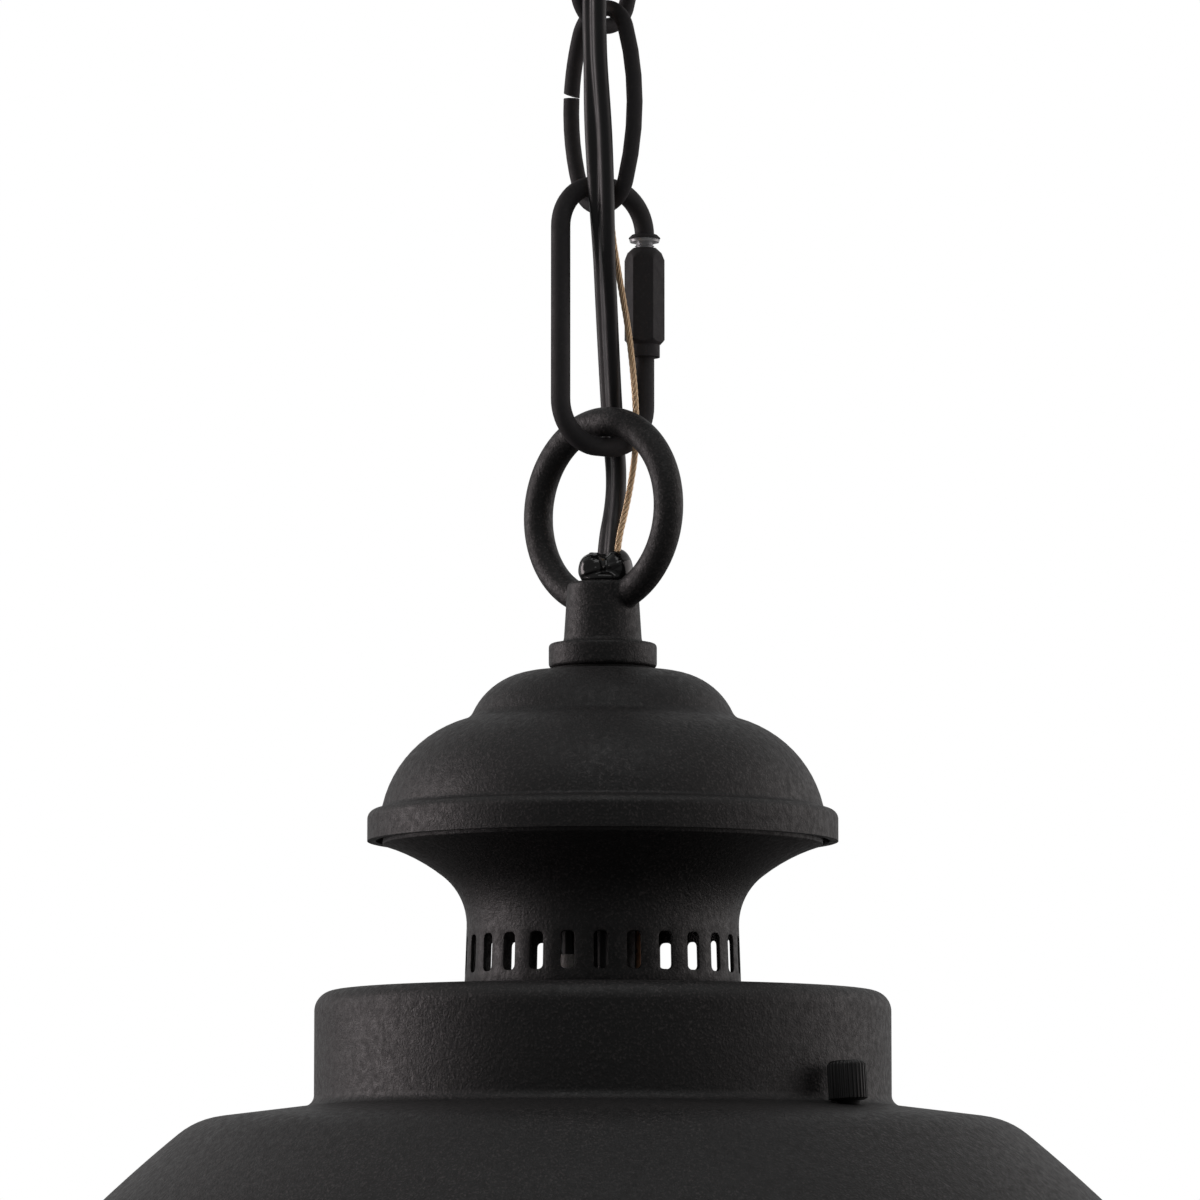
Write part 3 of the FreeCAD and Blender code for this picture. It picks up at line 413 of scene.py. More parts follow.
trees = {"ringArray": ringArrayTree(), "roundWire": roundWireTree()}


def grow(piece, treeName, values):
    modifier = piece.modifiers.new(treeName, "NODES")
    modifier.node_group = trees[treeName]
    for item in trees[treeName].interface.items_tree:
        if item.in_out == "INPUT" and item.name in values:
            modifier[item.identifier] = values[item.name]


wireSides = 28


def wirePiece(name, path, radius, finish, place, closed=False):
    bm = bmesh.new()
    spots = [bm.verts.new((x, 0, z)) for x, z in path]
    for first, second in zip(spots, spots[1:]):
        bm.edges.new((first, second))
    if closed:
        bm.edges.new((spots[-1], spots[0]))
    piece = meshPiece(name, bm, place)
    grow(piece, "roundWire", {"Radius": radius * mm, "Sides": wireSides, "Finish": materials[finish]})
    return settle(piece)


def joined(pieces):
    bm = bmesh.new()
    for piece in pieces:
        bm.from_mesh(piece.data)
    mesh = bpy.data.meshes.new(pieces[0].name)
    bm.to_mesh(mesh)
    bm.free()
    for material in pieces[0].data.materials:
        mesh.materials.append(material)
    whole = pieces[0]
    whole.data = mesh
    for piece in pieces[1:]:
        bpy.data.objects.remove(piece)
    return whole


def cast(piece, voxel, smooth):
    # melts joined solids into one skin, as a casting is
    remesh = piece.modifiers.new("melt", "REMESH")
    remesh.mode = "VOXEL"
    remesh.voxel_size = voxel * mm
    relax = piece.modifiers.new("relax", "SMOOTH")
    relax.factor = 0.5
    relax.iterations = smooth
    settle(piece)


# camera and light

cameraSize = {"stand": (-0.0005, -1.137, -0.305), "aim": (-0.0005, 0.0, -0.1875), "view": 10.7,
              "sensor": 36.0}
camera = linked("camera", bpy.data.cameras.new("camera"))
camera.location = cameraSize["stand"]
aim = Vector(cameraSize["aim"]) - camera.location
camera.rotation_euler = aim.to_track_quat("-Z", "Y").to_euler()
camera.data.sensor_width = cameraSize["sensor"]
camera.data.lens = cameraSize["sensor"] / 2 / math.tan(math.radians(cameraSize["view"] / 2))
camera.data.clip_start = 0.01
bpy.context.scene.camera = camera
bpy.context.scene.view_settings.view_transform = "Standard"


lampTarget = Vector((0, 0, -0.24))


def softLamp(name, spot, size, power, colour):
    light = bpy.data.lights.new(name, "AREA")
    light.shape = "RECTANGLE"
    light.size, light.size_y = size
    light.energy = power
    light.color = colour
    lamp = linked(name, light)
    lamp.location = spot
    lamp.rotation_euler = (lampTarget - Vector(spot)).to_track_quat("-Z", "Y").to_euler()


lamps = {
    "leftLamp": {"spot": (-1.23, 0.2, -0.1), "size": (0.6, 1.2), "power": 7.3, "colour": (1.0, 0.89, 0.9)},
    "rightLamp": {"spot": (1.15, 0.2, -0.1), "size": (1.7, 1.3), "power": 4.7, "colour": (1.0, 0.91, 0.9)},
    "topLamp": {"spot": (0.0, -0.5, 1.0), "size": (1.0, 0.8), "power": 2.6, "colour": (1.0, 0.99, 0.99)},
}
for name, lamp in lamps.items():
    softLamp(name, **lamp)


roomLight = {"from": (-0.15, 0.75), "to": (0.16, 0.44)}


def studioWorld():
    # white to the camera and through clear pieces; what lights the object is dimmer in front of it than behind
    world = bpy.data.worlds.new("studio")
    bpy.context.scene.world = world
    world.use_nodes = True
    tree = world.node_tree
    back = tree.nodes["Background"]
    rays = tree.nodes.new("ShaderNodeLightPath")
    place = tree.nodes.new("ShaderNodeTexCoord")
    split = tree.nodes.new("ShaderNodeSeparateXYZ")
    tree.links.new(place.outputs["Generated"], split.inputs[0])
    room = rangeNode(tree, split.outputs["Y"], *roomLight["from"], *roomLight["to"])
    seen = mathNode(tree, "MAXIMUM", rays.outputs["Is Camera Ray"], rays.outputs["Is Transmission Ray"])
    tree.links.new(mixColour(tree, seen, room, (1, 1, 1, 1)), back.inputs["Color"])
    back.inputs["Strength"].default_value = 1.0


studioWorld()
print("camera, lamps and world set")


def paleFloor():
    size = {"half": 2.5, "height": -0.55, "glow": 0.42, "fade": (0.5, 2.0), "cloud": 3.0, "rough": 0.9}
    tones = {"dull": (0.42, 0.42, 0.42, 1), "pale": (0.45, 0.45, 0.45, 1), "bounce": (0.2, 0.2, 0.2, 1)}
    bm = bmesh.new()
    bmesh.ops.create_grid(bm, x_segments=8, y_segments=8, size=size["half"])
    mesh = bpy.data.meshes.new("floor")
    bm.to_mesh(mesh)
    bm.free()
    floor = linked("floor", mesh)
    floor.location.z = size["height"]
    material = bpy.data.materials.new("paleFloor")
    material.use_nodes = True
    tree = material.node_tree
    shader = tree.nodes["Principled BSDF"]
    place = tree.nodes.new("ShaderNodeTexCoord").outputs["Object"]
    cloud = noiseNode(tree, place, size["cloud"])
    seen = tree.nodes.new("ShaderNodeLightPath").outputs["Is Camera Ray"]
    pale = mixColour(tree, cloud, tones["dull"], tones["pale"])
    # the floor runs out to white, so that its edge doesn't show
    reach = tree.nodes.new("ShaderNodeVectorMath")
    reach.operation = "LENGTH"
    tree.links.new(place, reach.inputs[0])
    far = rangeNode(tree, reach.outputs["Value"], *size["fade"], 0.0, 1.0)
    pale = mixColour(tree, far, pale, (0, 0, 0, 1))
    glow = rangeNode(tree, far, 0.0, 1.0, size["glow"], 1.0)
    tree.links.new(mixColour(tree, seen, tones["bounce"], pale), shader.inputs["Base Color"])
    shader.inputs["Roughness"].default_value = size["rough"]
    shader.inputs["Emission Color"].default_value = (1, 1, 1, 1)
    tree.links.new(mathNode(tree, "MULTIPLY", seen, glow), shader.inputs["Emission Strength"])
    # clear from below, so that the mouth of the shade can be seen
    clear = tree.nodes.new("ShaderNodeBsdfTransparent")
    under = tree.nodes.new("ShaderNodeNewGeometry").outputs["Backfacing"]
    blend = tree.nodes.new("ShaderNodeMixShader")
    feed(tree, blend.inputs, (mathNode(tree, "MULTIPLY", seen, under), shader.outputs[0], clear.outputs[0]))
    tree.links.new(blend.outputs[0], tree.nodes["Material Output"].inputs["Surface"])
    floor.data.materials.append(material)


paleFloor()


# cords first: twin supply cord and bare ground wire, woven down the chain

cordRoute = [(0.0, -0.7, -5.0), (0.0, -0.9, -36.5), (-0.8, -7.9, -51.0), (-1.9, -6.9, -80.0), (0.0, -7.1, -121.0),
             (0.9, 0.6, -140.0), (1.8, 7.2, -156.0), (2.7, 6.0, -167.0), (0.7, 0.2, -180.0), (0.0, 0.0, -204.0)]
wireRoute = [(0.0, 1.7, -5.0), (0.0, 1.5, -36.5), (-0.1, -5.1, -51.0), (-0.2, -4.1, -80.0), (1.2, -4.3, -119.5),
             (3.0, -1.9, -130.0), (5.0, 0.2, -141.0), (6.3, 0.7, -157.0), (4.9, 1.4, -168.0), (1.8, -2.9, -181.0),
             (1.4, -1.9, -204.0)]
# where each stretch ends, and the height of the joint it bends over
stretches = [("ceiling", "upper_link", 0.0, -67.5, -51.4), ("upper_link", "lower_link", -67.5, -101.0, -83.55),
             ("lower_link", "quick_link", -101.0, -138.0, -116.45),
             ("quick_link", "lamp", -138.0, -230.0, -159.95)]
routeStep = 0.5


def routeLine(points):
    # even points along the route's smooth line, mm
    curve = bpy.data.curves.new("route", "CURVE")
    curve.dimensions = "3D"
    spline = curve.splines.new("NURBS")
    spline.points.add(len(points) - 1)
    for spot, point in zip(spline.points, points):
        spot.co = (*point, 1)
    spline.order_u = 3
    spline.use_endpoint_u = True
    spline.resolution_u = 40
    route = linked("route", curve)
    mesh = finalMesh(route)
    raw = [v.co.copy() for v in mesh.vertices]
    bpy.data.objects.remove(route)
    bpy.data.curves.remove(curve)
    bpy.data.meshes.remove(mesh)
    line, left = [raw[0]], routeStep
    for first, second in zip(raw, raw[1:]):
        gap = (second - first).length
        while gap >= left:
            first = first.lerp(second, left / gap)
            gap -= left
            left = routeStep
            line.append(first.copy())
        left -= gap
    return line


def carriedFrames(line):
    # two cross directions carried down the line without twist
    across = Vector((1, 0, 0))
    frames = []
    for k, here in enumerate(line):
        way = (line[min(k + 1, len(line) - 1)] - line[max(k - 1, 0)]).normalized()
        across = (across - way * across.dot(way)).normalized()
        frames.append((here, across.copy(), way.cross(across)))
    return frames


def skinRings(bm, rings):
    loops = [[bm.verts.new(point) for point in ring] for ring in rings]
    count = len(loops[0])
    for first, second in zip(loops, loops[1:]):
        for k in range(count):
            n = (k + 1) % count
            bm.faces.new((first[k], first[n], second[n], second[k]))
    bm.faces.new(loops[0][::-1])
    bm.faces.new(loops[-1])


def tableValue(table, at):
    # eased value of a table of (height, value), from the top down
    for (a, first), (b, second) in zip(table, table[1:]):
        if at >= b:
            t = max(0.0, min(1.0, (at - a) / (b - a)))
            t = t * t * (3 - 2 * t)
            return first + (second - first) * t
    return table[-1][1]


twinCord = {"width": 5.3, "thick": 2.7, "waist": 1.7, "sides": 40,
            "turns": [(0, 20), (-60, 45), (-89, 52), (-105, 30), (-130, 60), (-150, 62), (-166, 66), (-178, 52),
                      (-230, 48)]}


def twinSection(size):
    lobe = size["thick"] / 2
    spread = size["width"] / 2 - lobe
    outline = []
    for k in range(size["sides"]):
        t = math.tau * k / size["sides"]
        x = size["width"] / 2 * math.cos(t)
        y = math.sqrt(max(0.0, lobe ** 2 - (abs(x) - spread) ** 2))
        if abs(x) < spread:
            y = max(y, size["waist"] / 2)
        outline.append((x, math.copysign(y, math.sin(t))))
    return outline


def layCord(name, node, finish, frames, skins):
    # a piece for each stretch of the route; skins gives the rings of each strand
    for number, (upper, lower, top, foot, joint) in enumerate(stretches, start=1):
        inside = [k for k, (here, u, v) in enumerate(frames) if foot <= here.z <= top]
        part = range(inside[0], min(inside[-1] + 2, len(frames)))
        bm = bmesh.new()
        for rings in skins(frames, part):
            skinRings(bm, rings)
        piece = meshPiece(f"{name}{number}", bm)
        piece.data.materials.append(materials[finish])
        piece.data.shade_smooth()
        piece.data.set_sharp_from_angle(angle=math.radians(60))
        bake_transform(piece)
        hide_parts(node)


def twinSkins(frames, part):
    outline = twinSection(twinCord)
    rings = []
    for k in part:
        here, u, v = frames[k]
        a = math.radians(tableValue(twinCord["turns"], here.z))
        x = u * math.cos(a) + v * math.sin(a)
        y = v * math.cos(a) - u * math.sin(a)
        rings.append([here + x * p + y * q for p, q in outline])
    return [rings]


groundWire = {"strands": 6, "strand": 0.19, "circle": 0.4, "lay": 7.5, "sides": 8, "diameter": 1.2}


def strandSkins(frames, part):
    # a straight strand with the others wound round it
    skins = []
    for strand in range(groundWire["strands"] + 1):
        reach = groundWire["circle"] if strand < groundWire["strands"] else 0.0
        rings = []
        for k in part:
            here, u, v = frames[k]
            a = math.tau * (strand / groundWire["strands"] + k * routeStep / groundWire["lay"])
            middle = here + (u * math.cos(a) + v * math.sin(a)) * reach
            rings.append([middle + (u * math.cos(b) + v * math.sin(b)) * groundWire["strand"]
                          for b in (math.tau * s / groundWire["sides"] for s in range(groundWire["sides"]))])
        skins.append(rings)
    return skins


layCord("supplyCord", "supply_cord", "cordJacket",
        carriedFrames(routeLine(cordRoute)), twinSkins)
layCord("groundWire", "ground_wire", "bareCopper",
        carriedFrames(routeLine(wireRoute)), strandSkins)
print("cords laid")


# canopy and its loop

canopySize = {"radius": 63.5, "depth": 24.0, "bend": 15.0, "hole": 10.0, "wall": 1.2}
line = sheetLine((canopySize["radius"], 0.0, 90.0), [
    ("run", canopySize["depth"] - canopySize["bend"]), ("bend", canopySize["bend"], 180.0),
    ("run", canopySize["radius"] - canopySize["bend"] - canopySize["hole"])])
turnedPiece("canopyCup", walled(line, canopySize["wall"]), 160, level["canopy"], "powderCoat", "ceiling", "canopy")

canopyLoopSize = {"thread": 4.9, "bore": 3.2, "spigot": 9.8, "spigotHeight": 9.0, "flange": 14.0,
                  "flangeHeight": 3.0, "collar": 10.8, "collarHeight": 7.0, "half": 8.3, "wire": 2.2,
                  "drop": 27.4, "turn": -46.0, "threadFoot": -8.0, "round": 0.8}
s = canopyLoopSize
foot = -s["flangeHeight"] - s["collarHeight"]
outline = softCorners([(s["thread"], s["spigotHeight"]), (s["spigot"], s["spigotHeight"]), (s["spigot"], 0.0),
                       (s["flange"], 0.0), (s["flange"], -s["flangeHeight"]), (s["collar"], -s["flangeHeight"]),
                       (s["collar"], foot), (s["bore"], foot), (s["bore"], s["threadFoot"]),
                       (s["thread"], s["threadFoot"])], s["round"], (1, 4, 5, 6))
turnedPiece("canopyLoopCollar", outline, 96, level["canopyLoop"], "powderCoat", "ceiling", "canopy_loop")
bailTop = -s["flangeHeight"] - s["collarHeight"] * 0.5
path = tracePath([(-s["half"], bailTop), (-s["half"], s["half"] - s["drop"]),
                  (0.0, -s["drop"], s["half"], 1), (s["half"], s["half"] - s["drop"], s["half"], 1),
                  (s["half"], bailTop)])
bail = wirePiece("canopyBail", path, s["wire"], "powderCoat", turnMatrix(s["turn"], level["canopyLoop"]))
dress(bail, "powderCoat", "ceiling", "canopy_loop")


# chain links and quick link

linkSize = {"half": 18.05, "side": 8.2, "end": 6.2, "wire": 1.45, "gap": 0.65, "gapAt": 3.2, "wedge": 0.5,
            "wedgeReach": 0.4}


def linkPath(size):
    arm = size["half"] - size["end"]
    sideArc = (size["side"] ** 2 + arm ** 2 - size["end"] ** 2) / (2 * (size["side"] - size["end"]))
    sine = arm / (sideArc - size["end"])
    joinZ = sideArc * sine
    joinX = size["side"] - sideArc + sideArc * math.sqrt(1 - sine ** 2)
    gapFoot = size["gapAt"] - size["gap"]
    topX, footX = (size["side"] - sideArc + math.sqrt(sideArc ** 2 - z ** 2) for z in (size["gapAt"], gapFoot))
    return tracePath([(-topX, size["gapAt"]), (-joinX, joinZ, sideArc, -1), (joinX, joinZ, size["end"], -1),
                      (joinX, -joinZ, sideArc, -1), (-joinX, -joinZ, size["end"], -1),
                      (-footX, gapFoot, sideArc, -1)])


def wedgeEnd(link, size, place):
    # the upper end is cut at a slant, so the gap opens outwards
    back = place.inverted()
    for vert in link.data.vertices:
        spot = back @ (vert.co / mm)
        if spot.x < 0 and abs(spot.z - size["gapAt"]) < size["wedgeReach"]:
            spot.z += size["wedge"] * (-spot.x - size["side"]) / size["wire"]
            vert.co = (place @ spot) * mm


for name, node, body, turn, height in (
        ("chainLinkUpper", "chain_link_upper", "upper_link", 44.0, level["upperLink"]),
        ("chainLinkLower", "chain_link_lower", "lower_link", -46.0, level["lowerLink"])):
    link = wirePiece(name, linkPath(linkSize), linkSize["wire"], "chainPaint", turnMatrix(turn, height))
    wedgeEnd(link, linkSize, turnMatrix(turn, height))
    dress(link, "chainPaint", body, node)

quickSize = {"half": 23.5, "side": 9.3, "bend": 8.0, "wire": 1.75, "turn": 36.0, "stub": 2.5, "legTop": 3.0,
             "collar": 2.85, "collarHeight": 1.3, "collarRise": 0.2, "collarNeck": 0.5, "collarSlope": 0.4,
             "collarRound": 0.2, "ferrule": 0.75, "nutDrop": 1.0}
s = quickSize
bendAt = s["half"] - s["bend"]
flat = s["side"] - s["bend"]
nutTop = bendAt - s["collarHeight"] - s["nutDrop"]
path = tracePath([(s["side"], s["legTop"]), (s["side"], -bendAt), (flat, -s["half"], s["bend"], -1),
                  (-flat, -s["half"]), (-s["side"], -bendAt, s["bend"], -1), (-s["side"], bendAt),
                  (-flat, s["half"], s["bend"], -1), (flat, s["half"]), (s["side"], bendAt, s["bend"], -1)])
quickPlace = turnMatrix(s["turn"], level["quickLink"])
legPlace = quickPlace @ Matrix.Translation((s["side"], 0, 0))
quick = wirePiece("quickLinkWire", path, s["wire"], "chainPaint", quickPlace)
dress(quick, "chainPaint", "quick_link", "quick_link")
collarFoot = bendAt - s["collarHeight"]
collarTop, ferruleTop = bendAt + s["collarRise"], collarFoot + s["ferrule"]
outline = softCorners([(0.0, collarTop), (s["wire"] + s["collarNeck"], collarTop),
                       (s["collar"], bendAt - s["collarSlope"]), (s["collar"], ferruleTop), (0.0, ferruleTop)],
                      s["collarRound"], (1, 2, 3))
collar = meshPiece("quickLinkCollar", turnedMesh(outline, 64), legPlace)
dress(collar, "chainPaint", "quick_link", "quick_link")
# bright ferrule under the collar, as (inset, rise), and the thread below it
threadSize = {"ferrule": [(0.25, 0.75), (0.1, 0.5), (0.25, 0.1)], "root": 1.62, "rootSink": 0.2, "crest": 0.02,
              "neck": 0.2, "pitch": 0.5, "crestDrop": 0.1, "rootDrop": 0.35}
t = threadSize
outline = [(0.0, ferruleTop)] + [(s["collar"] - inset, collarFoot + rise) for inset, rise in t["ferrule"]]
outline.append((s["wire"] + t["neck"], collarFoot))
height = collarFoot
while height > nutTop - s["stub"]:
    outline += [(s["wire"] + t["crest"], height - t["crestDrop"]),
                (t["root"] - t["rootSink"], height - t["rootDrop"])]
    height -= t["pitch"]
outline.append((0.0, outline[-1][1]))
thread = meshPiece("quickLinkThread", turnedMesh(outline, 48), legPlace)
dress(thread, "zincPlate", "quick_link", "quick_link")

nutSize = {"length": 19.8, "flats": 6.3, "end": 2.75, "endLength": 2.2, "slope": 0.9, "crown": 2.2, "bore": 1.82,
           "clock": -5.0, "bulge": 0.575, "crownFoot": 0.35, "crownTop": -0.6, "step": 0.3}


def sleeveNut(size):
    # a turned blank, cut to six flats
    bulge = size["flats"] * size["bulge"]
    corners = [(size["bore"], 0.0), (size["end"], 0.0), (size["end"], size["endLength"]),
               (bulge, size["endLength"] + size["slope"]), (bulge, size["length"] - size["crown"]),
               (size["end"] + size["crownFoot"], size["length"] - size["slope"]),
               (size["end"] + size["crownTop"], size["length"]), (size["bore"], size["length"])]
    fine = []
    for first, second in zip(corners, corners[1:]):
        a, b = Vector(first), Vector(second)
        count = max(2, round((b - a).length / size["step"]))
        fine.extend(tuple(a.lerp(b, k / count)) for k in range(count))
    fine.append(corners[-1])
    bm = turnedMesh(fine, 192)
    for vert in bm.verts:
        angle = math.degrees(math.atan2(vert.co.y, vert.co.x)) % 60 - 30
        reach = size["flats"] / 2 / math.cos(math.radians(angle))
        radius = math.hypot(vert.co.x, vert.co.y)
        if radius > reach:
            vert.co.x *= reach / radius
            vert.co.y *= reach / radius
    return bm


nutFoot = Vector((0, 0, nutTop - nutSize["length"]))
nutTurn = Matrix.Rotation(math.radians(nutSize["clock"]), 4, "Z")
nutPlace = Matrix.Translation(legPlace.translation + nutFoot) @ nutTurn
nut = meshPiece("sleeveNut", sleeveNut(nutSize), nutPlace)
dress(nut, "chainPaint", "sleeve_nut", "quick_link_nut", 28.0)
print("chain, quick link and sleeve nut made")


# hanger casting, seal

hangerSize = {"ring": 16.15, "ringWire": 2.65, "turn": -44.0, "bossTop": 6.3, "bossFoot": 7.0, "bossHeight": 10.9,
              "flange": 9.65, "flangeHeight": 4.45, "round": 0.7, "steps": 96, "voxel": 0.3,
              "relax": 4}
s = hangerSize
path = [(s["ring"] * math.cos(a), s["ring"] * math.sin(a))
        for a in (math.tau * k / s["steps"] for k in range(s["steps"]))]
ring = wirePiece("hangerCasting", path, s["ringWire"], "powderCoat", turnMatrix(s["turn"], level["ring"]), True)
flangeTop = -s["bossHeight"]
flangeFoot = flangeTop - s["flangeHeight"]
outline = softCorners([(0.0, 0.0), (s["bossTop"], 0.0), (s["bossFoot"], flangeTop), (s["flange"], flangeTop),
                       (s["flange"], flangeFoot), (0.0, flangeFoot)], s["round"], (1, 2, 3, 4))
boss = meshPiece("boss", turnedMesh(outline, 128, level["bossTop"]))
hanger = joined([ring, boss])
cast(hanger, s["voxel"], s["relax"])
hanger.data.materials.clear()
dress(hanger, "powderCoat", "lamp", "hanger_loop", 60.0)

# each lobe: middle and half widths
sealSize = {"sink": 0.9, "lobes": [((-1.5, -0.6, 2.4), (3.0, 3.3, 3.1)), ((2.6, -0.7, 2.4), (2.8, 3.2, 3.6)),
                                   ((0.9, 1.4, 2.4), (3.4, 2.7, 3.1)), ((0.3, -0.9, 0.6), (4.3, 3.5, 1.5))],
            "ridge": {"rise": 2.3, "slope": 0.3, "width": 0.45, "height": 0.3},
            "fold": {"scale": 330.0, "shift": (0.3, 2.1, 0.7), "height": 0.35, "sink": 0.1},
            "voxel": 0.2, "relax": 5}


def sealBead(size):
    # a few slumped lobes of sealant, melted together
    bm = bmesh.new()
    for middle, half in size["lobes"]:
        shape = Matrix.Translation(middle) @ Matrix.Diagonal((*half, 1.0))
        bmesh.ops.create_uvsphere(bm, u_segments=40, v_segments=24, radius=1.0, matrix=shape)
    for vert in bm.verts:
        vert.co.z = max(vert.co.z, -size["sink"])
    return bm


seal = meshPiece("sealBead", sealBead(sealSize), Matrix.Translation((0, 0, level["bossTop"])))
cast(seal, sealSize["voxel"], sealSize["relax"])
fold, ridge = sealSize["fold"], sealSize["ridge"]
for vert in seal.data.vertices:
    crease = noise.noise(vert.co * fold["scale"] + Vector(fold["shift"]))
    off = (vert.co.z / mm - level["bossTop"] - ridge["rise"] - ridge["slope"] * vert.co.x / mm) / ridge["width"]
    swell = ridge["height"] * math.exp(-off * off) * max(0.0, -vert.normal.y)
    vert.co += vert.normal * (fold["height"] * crease - fold["sink"] + swell) * mm
seal.data.materials.clear()
dress(seal, "sealant", "lamp", "wire_seal", 80.0)
print("hanger and seal made")


# dome cap, vent gallery and shade

capSize = {"wall": 1.5, "hole": 5.1, "flat": 11.8, "crown": (12.5, 65.0), "cove": (2.7, 16.0),
           "dome": (20.5, 77.0), "rimCove": (1.0, 14.0), "rimLedge": 0.7, "rimRound": 1.7, "rimWall": 3.9}
s = capSize
line = sheetLine((s["hole"], 0.0, 0.0), [
    ("run", s["flat"] - s["hole"]), ("bend", *s["crown"]), ("bend", *s["cove"]), ("bend", *s["dome"]),
    ("bend", *s["rimCove"]), ("run", s["rimLedge"]), ("bend", s["rimRound"], 90.0), ("run", s["rimWall"])])
turnedPiece("domeCap", walled(line, s["wall"]), 240, level["cap"], "powderCoat", "lamp", "dome_cap")

gallerySize = {"lip": 39.1, "lipAngle": 163.0, "sweep": (33.0, 142.0), "neck": (11.1, 88.0), "neckRun": 0.8,
               "foot": 10.7, "wall": 0.7, "upstand": 4.83, "slots": 26, "slotWidth": 2.6, "slotHeight": 6.6,
               "slotRise": 2.4, "slotCorner": 0.9, "clock": -0.9, "weld": 0.00002, "edge": 0.18, "edgeAngle": 50.0}


def gallerySector(size):
    # one slot and the strip of wall above it, between the middles of two bars
    line = sheetLine((size["lip"], 0.0, size["lipAngle"]), [
        ("bend", *size["sweep"]), ("bend", *size["neck"]), ("run", size["neckRun"])])
    footR, footZ, heading = line[-1]
    heading = math.radians(heading)
    left = size["foot"] - size["neckRun"]
    half = math.pi / size["slots"]
    profile = [(size["lip"], size["upstand"]), (size["lip"], size["upstand"] * 0.5)]
    profile += [(r, z) for r, z, a in line]
    columns = [-1.0, -0.72, -0.44, -0.2, 0.0, 0.2, 0.44, 0.72, 1.0]
    bm = bmesh.new()

    def onWall(drop, share):
        r = footR + drop * math.cos(heading)
        z = footZ - drop * math.sin(heading)
        return bm.verts.new((-r * math.sin(share * half), -r * math.cos(share * half), z))

    rows = [[bm.verts.new((-r * math.sin(c * half), -r * math.cos(c * half), z)) for c in columns]
            for r, z in profile]
    for first, second in zip(rows, rows[1:]):
        for k in range(len(columns) - 1):
            bm.faces.new((first[k], first[k + 1], second[k + 1], second[k]))
    # slot outline and the frame round it, started at the same corner
    middle = left - size["slotRise"] - size["slotHeight"] / 2
    width = 2 * half * footR
    w, h, c = size["slotWidth"] / 2, size["slotHeight"] / 2, size["slotCorner"]
    sides = [-h + c + (2 * h - 2 * c) * k / 4 for k in range(5)]

    def corner(x, y, start):
        turns = [math.radians(start + 22.5 * k) for k in (1, 2, 3)]
        return [(x + c * math.cos(a), y + c * math.sin(a)) for a in turns]

    flat = w - c
    topRow = [(flat * k / 2, -h) for k in (-2, -1, 0, 1, 2)]
    slot = topRow + corner(flat, -h + c, -90) + [(w, y) for y in sides] + corner(flat, h - c, 0)
    slot += [(x, h) for x, y in reversed(topRow)] + corner(-flat, h - c, 90)
    slot += [(-w, y) for y in reversed(sides)] + corner(-flat, -h + c, 180)
    inner = [onWall(middle + y, x / (width / 2)) for x, y in slot]
    edgeDrops = [left * k / 10 for k in range(1, 10)]
    outer = rows[-1][2:7] + [rows[-1][7], rows[-1][8]]
    rightEdge = [onWall(d, 1.0) for d in edgeDrops] + [onWall(left, 1.0)]
    footRow = [onWall(left, x) for x in reversed(columns[:-1])]
    leftEdge = [onWall(d, -1.0) for d in reversed(edgeDrops)]
    outer += rightEdge + footRow + leftEdge + [rows[-1][0], rows[-1][1]]
    edges = []
    for loop in (inner, outer):
        for k in range(len(loop)):
            pair = (loop[k], loop[(k + 1) % len(loop)])
            edges.append(bm.edges.get(pair) or bm.edges.new(pair))
    bmesh.ops.bridge_loops(bm, edges=edges)
    bmesh.ops.recalc_face_normals(bm, faces=bm.faces)
    return bm


gallery = meshPiece("ventGallery", gallerySector(gallerySize), turnMatrix(gallerySize["clock"], 0.0))
grow(gallery, "ringArray", {"Count": gallerySize["slots"], "Weld": gallerySize["weld"],
                            "Finish": materials["powderCoat"]})
settle(gallery)
faceOut(gallery.data)
gallery.data.transform(Matrix.Translation((0, 0, level["gallery"] * mm)))
wall = gallery.modifiers.new("wall", "SOLIDIFY")
wall.thickness = gallerySize["wall"] * mm
wall.offset = -1.0
edge = gallery.modifiers.new("edge", "BEVEL")
edge.width = gallerySize["edge"] * mm
edge.segments = 2
edge.limit_method = "ANGLE"
edge.angle_limit = math.radians(gallerySize["edgeAngle"])
settle(gallery)
dress(gallery, "powderCoat", "lamp", "vent_gallery")

shadeSize = {"wall": 1.2, "hole": 11.5, "drum": 51.1, "drumHeight": 20.4, "drumRound": 3.6, "fillet": 2.0,
             "shoulder": 7.0, "shoulderRun": 15.0, "shoulderBend": (14.0, 39.5), "skirt": (256.0, 68.6),
             "bead": 2.2, "beadSteps": 24, "beadGap": 0.2}
s = shadeSize
drumWall = s["drumHeight"] - s["drumRound"] - s["fillet"] * math.cos(math.radians(s["shoulder"]))
line = sheetLine((s["hole"], 0.0, 0.0), [
    ("run", s["drum"] - s["drumRound"] - s["hole"]), ("bend", s["drumRound"], 90.0), ("run", drumWall),
    ("bend", s["fillet"], s["shoulder"]), ("run", s["shoulderRun"]), ("bend", *s["shoulderBend"]),
    ("bend", *s["skirt"])])
outline = walled(line, s["wall"])
endR, endZ, heading = line[-1]
heading = math.radians(heading)
along = Vector((math.cos(heading), -math.sin(heading)))
outward = Vector((math.sin(heading), math.cos(heading)))
middle = Vector((endR, endZ)) - outward * s["wall"] / 2
start = math.pi - math.asin(s["wall"] / 2 / s["bead"])
bead = [tuple(middle + along * s["bead"] * math.cos(a) + outward * s["bead"] * math.sin(a))
        for a in (start - 2 * start * k / s["beadSteps"] for k in range(s["beadSteps"] + 1))]
